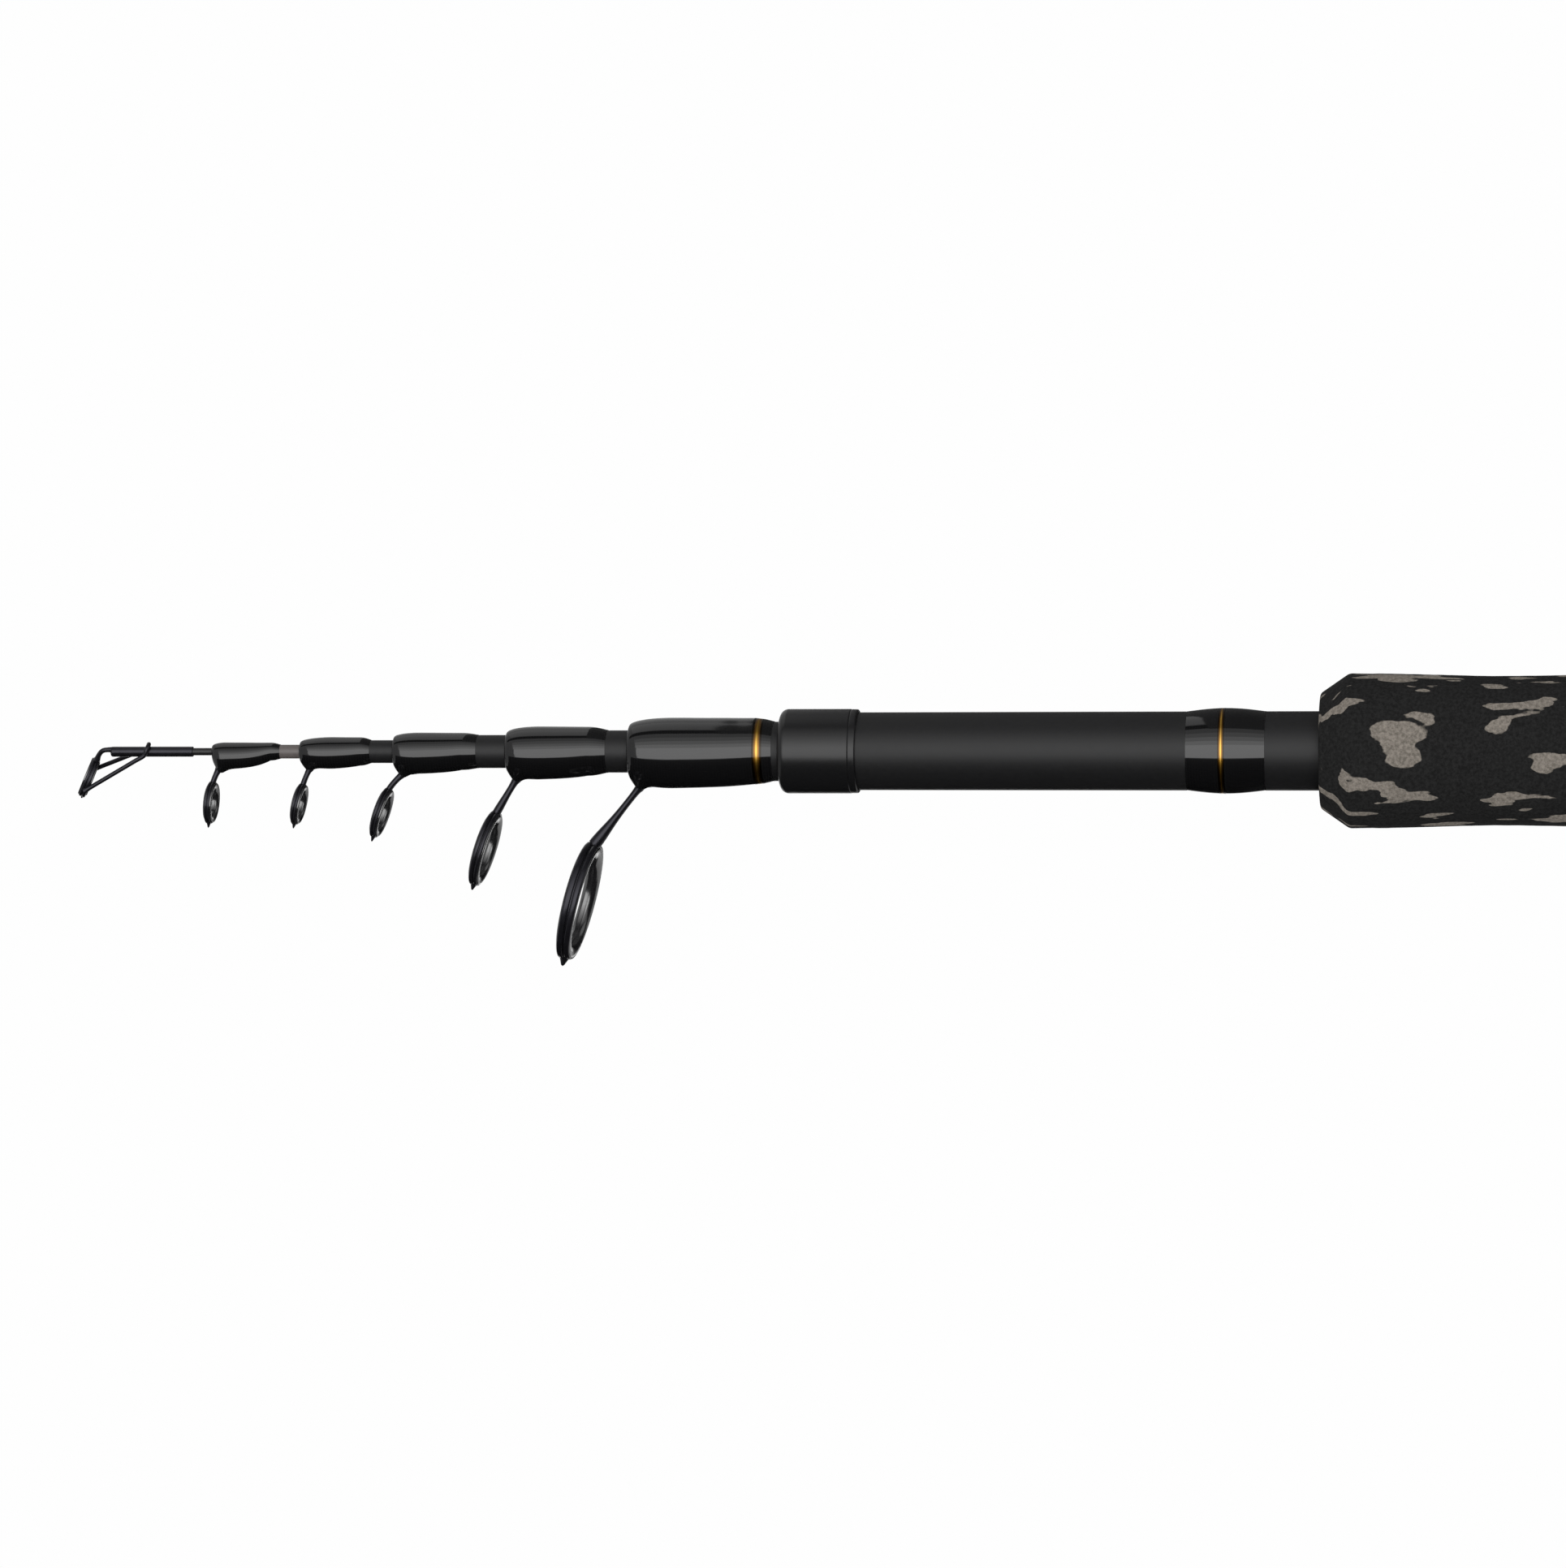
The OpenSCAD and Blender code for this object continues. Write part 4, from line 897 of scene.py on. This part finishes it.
def smooth_path(points, steps=8):
    """A curve that passes through all the points and turns gently at each."""
    points, out = [Vector(p) for p in points], []
    for k in range(len(points) - 1):
        a, b, c, d = (points[min(max(k + m, 0), len(points) - 1)] for m in (-1, 0, 1, 2))
        square, cube = 2 * a - 5 * b + 4 * c - d, 3 * b - a - 3 * c + d
        for t in fractions(steps)[:-1]:
            out.append((2 * b + (c - a) * t + square * t ** 2 + cube * t ** 3) / 2)
    return out + [points[-1]]


def wire(path, radius, sides=20):
    points, gone, across = [], [0.0], path[0].orthogonal()
    for p, q in zip(path, path[1:]):
        gone.append(gone[-1] + (q - p).length)
    for k, p in enumerate(path):
        before, after = neighbours(path, k)
        along = (after - before).normalized()
        across = (across - along * across.dot(along)).normalized()
        side, end = along.cross(across), min(gone[k], gone[-1] - gone[k])
        r = radius * (1 + BRAZE_SWELL * exp(-(end / BRAZE_L) ** 2))
        for a in circle(sides):
            points.append(p + across * (r * cos(a)) + side * (r * sin(a)))
    return points, bar_faces(len(path), sides)


# %% [markdown]
# ## Tip top
# One wire is bent into a long loop: it starts at one side of the ring, runs back to the tube, crosses over
# it as a saddle, and returns to the ring's other side. A short wire arches from the tube's nose to the top
# of the ring. In the photograph the tip section is turned a little round its own axis, so this one is too.

# %% Tip top
TIP_RING_R, TIP_RIM, TIP_HOOP_L, TIP_BORE, TIP_NUB = 4.75, 0.6, 1.3, 2.9, 1.2
TIP_DROP, TIP_AHEAD, TIP_LEAN, TIP_ROLL = 6.6, 5.7, 26, 30
WIRE_R, SADDLE_BACK, LOOP_END = 0.5, 8.3, radians(80)
TUBE_WALL = 0.28
AXIS_R = 0.02  # the radius at which a profile is closed near the axis
BACKWARDS = Matrix.Scale(-1, 4, (0, 0, 1))

inner = blank_r(0, tube_s + TUBE_L) + GLUE
tube_r = inner + TUBE_WALL
tip_place = station(tube_s) @ Matrix.Rotation(radians(TIP_ROLL), 4, "Z")
tip_ring = Matrix.Translation((TIP_DROP, 0, -TIP_AHEAD)) @ Matrix.Rotation(radians(TIP_LEAN), 4, "Y")
facing_out = tip_ring @ BACKWARDS  # this ring's flange looks forward, off the end of the rod

rim_r, saddle_r = TIP_RING_R + WIRE_R / 3, tube_r + WIRE_R
half = []
for side in (-1, 1):
    end = tip_ring @ Vector((rim_r * cos(LOOP_END), side * rim_r * sin(LOOP_END), 0))
    lower = Vector((0.1, side * saddle_r, SADDLE_BACK - 0.5))
    upper = Vector((-0.72 * saddle_r, side * 0.72 * saddle_r, SADDLE_BACK + 0.15))
    half.append([end.lerp(lower, t) for t in (0, 0.3, 0.6, 0.85)] + [lower, upper])
loop = half[0] + [Vector((-saddle_r, 0, SADDLE_BACK + 0.4))] + half[1][::-1]
ring_top = tip_ring @ Vector((-rim_r, 0, 0))
nose = [(-0.45, 0, 0.8), (-0.5, 0, -0.6), (-0.25, 0, -1.9), (0.75, 0, -2.85), ring_top]
make_piece("tip_wire_frame", "tip_top_frame", tip_place,
           joined((HERE, wire(smooth_path(loop), WIRE_R)), (HERE, wire(smooth_path(nose), WIRE_R * 1.1)),
                  (facing_out, hoop_ring(TIP_RING_R, TIP_RIM, TIP_HOOP_L)),
                  (tip_ring, nub(TIP_RING_R, TIP_RIM, TIP_HOOP_L, TIP_NUB))))
make_piece("tip_ceramic_ring", "tip_top_ring", tip_place @ facing_out,
           ceramic_ring(TIP_RING_R, TIP_RIM, TIP_BORE, TIP_HOOP_L))
tube = rounded([(AXIS_R, 0), (tube_r, 0), (tube_r, TUBE_L / 2), (tube_r, TUBE_L), (inner, TUBE_L)], 0.5)
tube += [(front_r[0] + GLUE, NOSE_L), (AXIS_R, NOSE_L)]
make_piece("drawn_tip_tube", "tip_top_tube", station(tube_s), turned(tube, 64))

# %% [markdown]
# ## Mouth cap and butt wrap
# The cap is a turned sleeve that keeps the butt section's thin mouth from splitting. Its front edge is
# rounded, and a fine turned line marks off a narrow rim at the back. The butt wrap is a plain epoxy bulge
# with a gold band let into it.

# %% Cap and butt wrap
CAP_L, CAP_WALL, CAP_ROUND = 17.25, 0.72, 1.8
BUTT_WRAP_S, BUTT_WRAP_L, BUTT_WRAP_H = 89.35, 17.1, 0.72
BUTT_BAND_AT, BUTT_BAND_W = 7.7, 1.4


def front_edge(r, ease, count):
    """A quarter circle from a turned piece's front face out to its radius."""
    return [(r - ease * (1 - sin(t)), ease * (1 - cos(t))) for t in quarter(count)]


cap_r = blank_r(6, CAP_L) + GLUE + CAP_WALL
lip_r = mouth_r[6] + LIP_GAP
line = [(cap_r, CAP_L - 1.65), (cap_r - 0.18, CAP_L - 1.55), (cap_r - 0.05, CAP_L - 1.42)]
rim_end = [(cap_r - 0.08, CAP_L), (blank_r(6, CAP_L) + GLUE, CAP_L)]
cap = [(lip_r, 0)] + front_edge(cap_r, CAP_ROUND, 10) + rounded([(cap_r, CAP_L / 2)] + line + rim_end, 0.3)
cap += [(blank_r(6, CAP_LIP) + GLUE, CAP_LIP), (lip_r, CAP_LIP)]
make_piece("turned_mouth_cap", "mouth_cap", station(0), turned(cap))

butt_base = blank_r(6, BUTT_WRAP_S + BUTT_WRAP_L) + 2 * GLUE


def butt_wrap_r(z):
    return butt_base + BUTT_WRAP_H * sin(pi * min(max(z / BUTT_WRAP_L, 0), 1))


slot_in, slot_out = BUTT_BAND_AT - BUTT_BAND_W / 2, BUTT_BAND_AT + BUTT_BAND_W / 2
slot_r = butt_wrap_r(BUTT_BAND_AT - BUTT_BAND_W) - BAND_T
skin = [(butt_wrap_r(slot_in * t), slot_in * t) for t in fractions(20)]
skin += [(slot_r, slot_in + SLOT_DRAFT), (slot_r, slot_out - SLOT_DRAFT)]
skin += [(butt_wrap_r(z), z) for z in [slot_out + (BUTT_WRAP_L - slot_out) * t for t in fractions(24)]]
bore = [(blank_r(6, BUTT_WRAP_S + z) + GLUE, z) for z in (BUTT_WRAP_L, 0)]
make_piece("butt_lacquered_wrap", "butt_wrap", station(BUTT_WRAP_S), turned(skin + bore))

# %% [markdown]
# ## Foam grips
# Turned foam keeps its crisp shoulders but never quite a sharp edge, and its skin is a little uneven where
# the lathe's sandpaper bit deeper between the sheets. Profiles with eased corners give the first; a gentle
# noise in the radius gives the second.

# %% Grips
FORE_S, FORE_L, FORE_R = 118.25, 80.0, 16.85
FACE_R, CHAMFER_L, WAIST = 12.5, 6.3, 0.68
REAR_S, REAR_L, REAR_R = 318.25, 142.0, 15.5
TAPER_L, TRIM_R = 14.0, 14.4
GRIP_ROUND, GRIP_SIDES = 3.0, 160
SKIN_R = 10.0  # points nearer to the axis belong to the bore and the face
BROAD, FINE = (0.09, 0.06), (0.6, 0.035)  # how often per millimetre the foam's skin swells, and how far


def foam(seed):
    def swell(r, a, z):
        if r < SKIN_R:
            return r
        at = Vector((cos(a) * r, sin(a) * r, z))
        broad = noise.noise(at * BROAD[0] + Vector((seed, 0, 0)))
        fine = noise.noise(at * FINE[0] + Vector((0, seed, 0)))
        return r + BROAD[1] * broad + FINE[1] * fine
    return swell


def rear_edge(r, end, ease, count):
    """A quarter circle from a turned piece's radius in to its rear face."""
    return [(r - ease * (1 - cos(t)), end - ease * (1 - sin(t))) for t in quarter(count)]


def grip(r, s, l, skin, seed):
    bore = [(blank_r(6, s + l) + GLUE, l), (blank_r(6, s) + GLUE, 0)]
    return turned(skin + rear_edge(r, l, GRIP_ROUND, 12)[1:] + bore, GRIP_SIDES, foam(seed))


body_l = FORE_L - CHAMFER_L - GRIP_ROUND
front = rounded([(FACE_R - 3.5, 0), (FACE_R, 0), (FORE_R, CHAMFER_L), (FORE_R - 0.1, CHAMFER_L + 5)], 0.7)
waist = [(FORE_R - WAIST * sin(pi * t) ** 2, CHAMFER_L + body_l * t) for t in fractions(70)[6:]]
fore = make_piece("fore_foam_grip", "fore_grip", station(FORE_S),
                  grip(FORE_R, FORE_S, FORE_L, front + waist, 3.1))
taper = [(TRIM_R + (REAR_R - TRIM_R) * (1 - cos(pi * t)) / 2, TAPER_L * t) for t in fractions(16)]
straight = [(REAR_R, TAPER_L + (REAR_L - TAPER_L - GRIP_ROUND) * t) for t in fractions(110)[1:]]
rear = make_piece("rear_foam_grip", "rear_grip", station(REAR_S),
                  grip(REAR_R, REAR_S, REAR_L, taper + straight, 8.7))

# %% [markdown]
# ## Threads and flutes
# A spinning reel's foot lies on the seat's barrel, between a fixed hood and a sliding one that a nut
# drives along the thread. The thread is a ridge carried round a helix, a turn at a time, because the key
# slot on top cuts through it. Flutes are round grooves for the fingers.

# %% Threads and flutes
RUN_GAP, ROOT_W, CREST_W, THREAD_FOOT = 0.15, 1.1, 0.8, 0.3
FLUTE_R, FLUTE_SIDES = 0.9, 14


def thread_ridge(foot, crest, pitch, length, turned_by=0.0, slot_half=0.0):
    """A right-hand thread; slot_half is half the angle, about the top, that a key slot takes out of it."""
    points, faces = [], []
    ridge = [(foot, -ROOT_W / 2), (crest, -CREST_W / 2), (crest, CREST_W / 2), (foot, ROOT_W / 2)]
    ring = rounded(ridge, 0.14, 2)
    n = len(ring)
    stop, start = (length - ROOT_W) / pitch * 360, 0.0
    while start < stop - 1:
        end = stop
        if slot_half:
            end = min(stop, floor((start + 180) / 360) * 360 + 180 - slot_half)
        steps, first = max(2, int((end - start) / 4)), len(points)
        for t in fractions(steps):
            angle = start + (end - start) * t
            a = radians(angle + turned_by)
            points += [(r * cos(a), r * sin(a), ROOT_W / 2 + pitch * angle / 360 + z) for r, z in ring]
        last = first + steps * n
        faces += skin_faces(steps + 1, n, first)
        faces += [tuple(range(first, first + n)), tuple(range(last, last + n))]
        start = end + 2 * slot_half
    return points, faces


def fluted(profile, r, count):
    """A turned profile with round grooves in its outside, which has the radius r."""
    def swell(at, a, z):
        if at < r - 1.5:
            return at
        share = 2 * pi / count
        off = (a + share / 2) % share - share / 2
        middle = r + FLUTE_R / 2
        inside = FLUTE_R ** 2 - (middle * sin(off)) ** 2
        return min(at, middle * cos(off) - sqrt(inside)) if inside > 0 else at

    return turned(profile, count * FLUTE_SIDES, swell)


# %% [markdown]
# ## Barrel and nut
# The barrel is a tube with a thread on its front part and a flat slot along the top, in which the sliding
# hood's key runs. The nut's own thread is turned so that its ridge lies in the barrel's groove.

# %% Barrel and nut
SEAT_S, SEAT_L, SEAT_R, SEAT_BORE = 200.25, 116.0, 12.0, 10.2
SEAT_PITCH, THREAD_H, SEAT_THREAD_L = 3.0, 0.7, 40.0
SLOT_HALF_W, SLOT_R, SLOT_END = 1.95, 11.4, 60.15
NUT_S, NUT_L, NUT_R, NUT_FLUTES = 202.25, 13.0, 15.45, 24
HOOD_BORE = 12.85


def key_slot(r, a, z):
    in_slot = cos(a) < 0 and abs(r * sin(a)) < SLOT_HALF_W and z < SLOT_END
    return min(r, SLOT_R / -cos(a)) if r > SLOT_R and in_slot else r


zs = [k * 2.5 for k in range(1, 24)] + [SLOT_END - 0.05, SLOT_END + 0.05, 75, 95]
wall = rounded([(SEAT_BORE, 0), (SEAT_R, 0), (SEAT_R, 2)], 0.35) + [(SEAT_R, z) for z in zs]
wall += rounded([(SEAT_R, SEAT_L - 5), (SEAT_R, SEAT_L), (SEAT_BORE, SEAT_L)], 0.35)
slot_deg = degrees(asin(SLOT_HALF_W / (SEAT_R + THREAD_H)))
thread = thread_ridge(SEAT_R - THREAD_FOOT, SEAT_R + THREAD_H, SEAT_PITCH, SEAT_THREAD_L, 0, slot_deg)
make_piece("moulded_seat_barrel", "seat_barrel", station(SEAT_S),
           joined((HERE, turned(wall, 256, key_slot)), (Matrix.Translation((0, 0, RUN_GAP)), thread)))

rim = rounded([(HOOD_BORE, 0), (NUT_R, 0), (NUT_R, NUT_L), (HOOD_BORE, NUT_L)], 0.9, 6)
nut_turn_at = 360 * ((NUT_S - SEAT_S - RUN_GAP) / SEAT_PITCH - 0.5)
nut_thread = thread_ridge(HOOD_BORE + THREAD_FOOT, SEAT_R + RUN_GAP, SEAT_PITCH, NUT_L, nut_turn_at)
make_piece("fluted_lock_nut", "seat_nut", station(NUT_S),
           joined((HERE, fluted(rim, NUT_R, NUT_FLUTES)), (HERE, nut_thread)))

# %% [markdown]
# ## Hoods and trims
# A hood is a ring with a shoe under it that covers one end of the reel's foot. It is moulded, so every
# edge has a radius and the shoe flows into the ring. Powers do that: a sum of two high powers follows the
# larger one and rounds the corner between them. A box made in the same way has round corners.

# %% Hoods and trims
HOOD_L, HOOD_R, HOOD_EASE = 23.0, 15.05, 1.1
POCKET_L, POCKET_FLOOR, POCKET_HALF_W, SHOE_WALL = 15.0, 17.9, 8.0, 1.5
SHOE_POWER, POCKET_POWER, BLEND_POWER = 8, 10, 26
HOOD_S, FIXED_HOOD_S = 215.4, 293.25
KEY_HALF_W, KEY_R = 1.8, 11.55
TRIM_AT, TRIM_L = (198.25, 316.25), 2.0


def soft_box(a, depth, half_w, power):
    """Distance to the edge of a box with round corners that reaches down from the axis."""
    if cos(a) <= 0:
        return 0.0
    return ((cos(a) / depth) ** power + abs(sin(a) / half_w) ** power) ** (-1 / power)


def hood(bore, keyed):
    pocket_z = HOOD_L - POCKET_L

    def swell(r, a, z):
        if r > bore + 0.6:
            t = min(z / (pocket_z + SHOE_WALL), 1.0)
            depth = HOOD_R + (POCKET_FLOOR + SHOE_WALL - HOOD_R) * t * t * (3 - 2 * t)
            shoe = soft_box(a, depth, POCKET_HALF_W + SHOE_WALL, SHOE_POWER)
            return (HOOD_R ** BLEND_POWER + shoe ** BLEND_POWER) ** (1 / BLEND_POWER) + r - HOOD_R
        if keyed and cos(a) < 0 and abs(r * sin(a)) < KEY_HALF_W:
            return KEY_R / -cos(a)
        return max(r, soft_box(a, POCKET_FLOOR, POCKET_HALF_W, POCKET_POWER)) if z > pocket_z else r

    body = [(HOOD_R, HOOD_EASE + (HOOD_L - 2 * HOOD_EASE) * k / 20) for k in range(1, 20)]
    back = rear_edge(HOOD_R, HOOD_L, 0.7 * HOOD_EASE, 6)
    inside = [(bore, z) for z in (HOOD_L, HOOD_L - 0.3, pocket_z + 0.05, pocket_z - 0.05, 0)]
    return turned(front_edge(HOOD_R, HOOD_EASE, 6) + body + back + inside, 240, swell)


make_piece("keyed_sliding_hood", "seat_sliding_hood", station(HOOD_S), hood(HOOD_BORE, True))
make_piece("moulded_fixed_hood", "seat_fixed_hood", station(FIXED_HOOD_S + HOOD_L) @ BACKWARDS,
           hood(SEAT_R + GLUE, False))
for name, s in zip(("front", "rear"), TRIM_AT):
    around = blank_r(6, s) + GLUE + 0.02
    ring = rounded([(around, 0), (TRIM_R, 0), (TRIM_R, TRIM_L), (around, TRIM_L)], 0.6)
    make_piece(f"turned_{name}_trim", f"seat_trim_{name}", station(s), turned(ring))

# %% [markdown]
# ## Butt end
# The ferrule is glued over the end of the blank, and a fluted plug screws into it, so that the sections
# can be taken out and rinsed. Both threads are made, because they can be seen when the plug is unscrewed.

# %% Ferrule
FERRULE_S, FERRULE_L, FERRULE_R, FERRULE_GLUE_L = 460.25, 24.0, 13.8, 12.0
GROOVE_S, GROOVE_HALF, GROOVE_D = 2.7, 0.3, 0.35
PLUG_CORE, PLUG_PITCH, PLUG_BORE = 8.1, 2.5, 8.95

sleeve = rounded([(blank_r(6, FERRULE_S) + GLUE, 0), (FERRULE_R, 0), (FERRULE_R, GROOVE_S - GROOVE_HALF),
                  (FERRULE_R - GROOVE_D, GROOVE_S), (FERRULE_R, GROOVE_S + GROOVE_HALF),
                  (FERRULE_R, FERRULE_L), (PLUG_BORE, FERRULE_L)], 0.5)
sleeve += [(PLUG_BORE, FERRULE_GLUE_L + GLUE), (blank_r(6, BUTT_REAR) + GLUE, FERRULE_GLUE_L + GLUE)]
thread_l = FERRULE_L - FERRULE_GLUE_L
inner_thread = thread_ridge(PLUG_BORE + THREAD_FOOT, PLUG_CORE + RUN_GAP, PLUG_PITCH, thread_l, 180)
make_piece("turned_butt_ferrule", "butt_ferrule", station(FERRULE_S),
           joined((HERE, turned(sleeve)), (Matrix.Translation((0, 0, FERRULE_GLUE_L)), inner_thread)))

# %% [markdown]
# The plug is drawn from its nose, which carries the damper, back over the threaded core and the seal's
# groove to the fluted head. A rubber bumper closes it, with a spigot that is glued into the head.

# %% Plug and bumper
NOSE_S, CORE_S, PLUG_HEAD_S, PLUG_HEAD_L, PLUG_FLUTES = 467.25, 472.45, 484.45, 6.0, 20
SEAL_R, SEAL_HALF, SEAL_DEEP = 11.375, 0.83, 1.6
SPIGOT_R, SPIGOT_L, BUMPER_L = 6.0, 3.0, 4.0
DAMPER_L = 5.0
RELIEF = 0.2  # the plain end of the core, ahead of the plug's thread

low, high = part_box("plug_damper")
nose_r = (high.z - low.z) / 2 / MM
core, head, back = CORE_S - NOSE_S, PLUG_HEAD_S - NOSE_S, PLUG_HEAD_S + PLUG_HEAD_L - NOSE_S
stud = nose_r / 3 + RUN_GAP
seal_in, seal_out = SEAL_R - SEAL_HALF, SEAL_R + SEAL_HALF
plug = [(AXIS_R, DAMPER_L), (stud, DAMPER_L), (stud, 0)]
plug += rounded([(stud + 0.5, 0), (nose_r, 0), (nose_r, core), (PLUG_CORE, core), (PLUG_CORE, head)], 0.3)
plug += [(seal_in, head), (seal_in, head + SEAL_DEEP), (seal_out, head + SEAL_DEEP)]
plug += rounded([(seal_out, head), (FERRULE_R, head), (FERRULE_R, back), (SPIGOT_R + 2, back)], 0.6)
plug += [(SPIGOT_R + GLUE, back), (SPIGOT_R + GLUE, back - SPIGOT_L), (AXIS_R, back - SPIGOT_L)]
plug_thread = thread_ridge(PLUG_CORE - THREAD_FOOT, PLUG_CORE + THREAD_H, PLUG_PITCH,
                           PLUG_HEAD_S - RELIEF - CORE_S, 360 * RELIEF / PLUG_PITCH)
make_piece("fluted_butt_plug", "butt_plug", station(NOSE_S),
           joined((HERE, fluted(plug, FERRULE_R, PLUG_FLUTES)),
                  (Matrix.Translation((0, 0, core)), plug_thread)))

bumper = [(AXIS_R, -SPIGOT_L + GLUE), (SPIGOT_R, -SPIGOT_L + GLUE), (SPIGOT_R, GLUE)]
groove = [(10.2, BUMPER_L), (9.7, BUMPER_L - 0.5), (8.4, BUMPER_L - 0.5), (7.9, BUMPER_L)]
outside = [(FERRULE_R - 0.5, GLUE), (FERRULE_R, GLUE), (FERRULE_R, BUMPER_L)]
bumper += rounded(outside + groove + [(2, BUMPER_L)], 1.8, 8) + [(AXIS_R, BUMPER_L)]
make_piece("moulded_butt_bumper", "butt_bumper", station(PLUG_HEAD_S + PLUG_HEAD_L), turned(bumper))
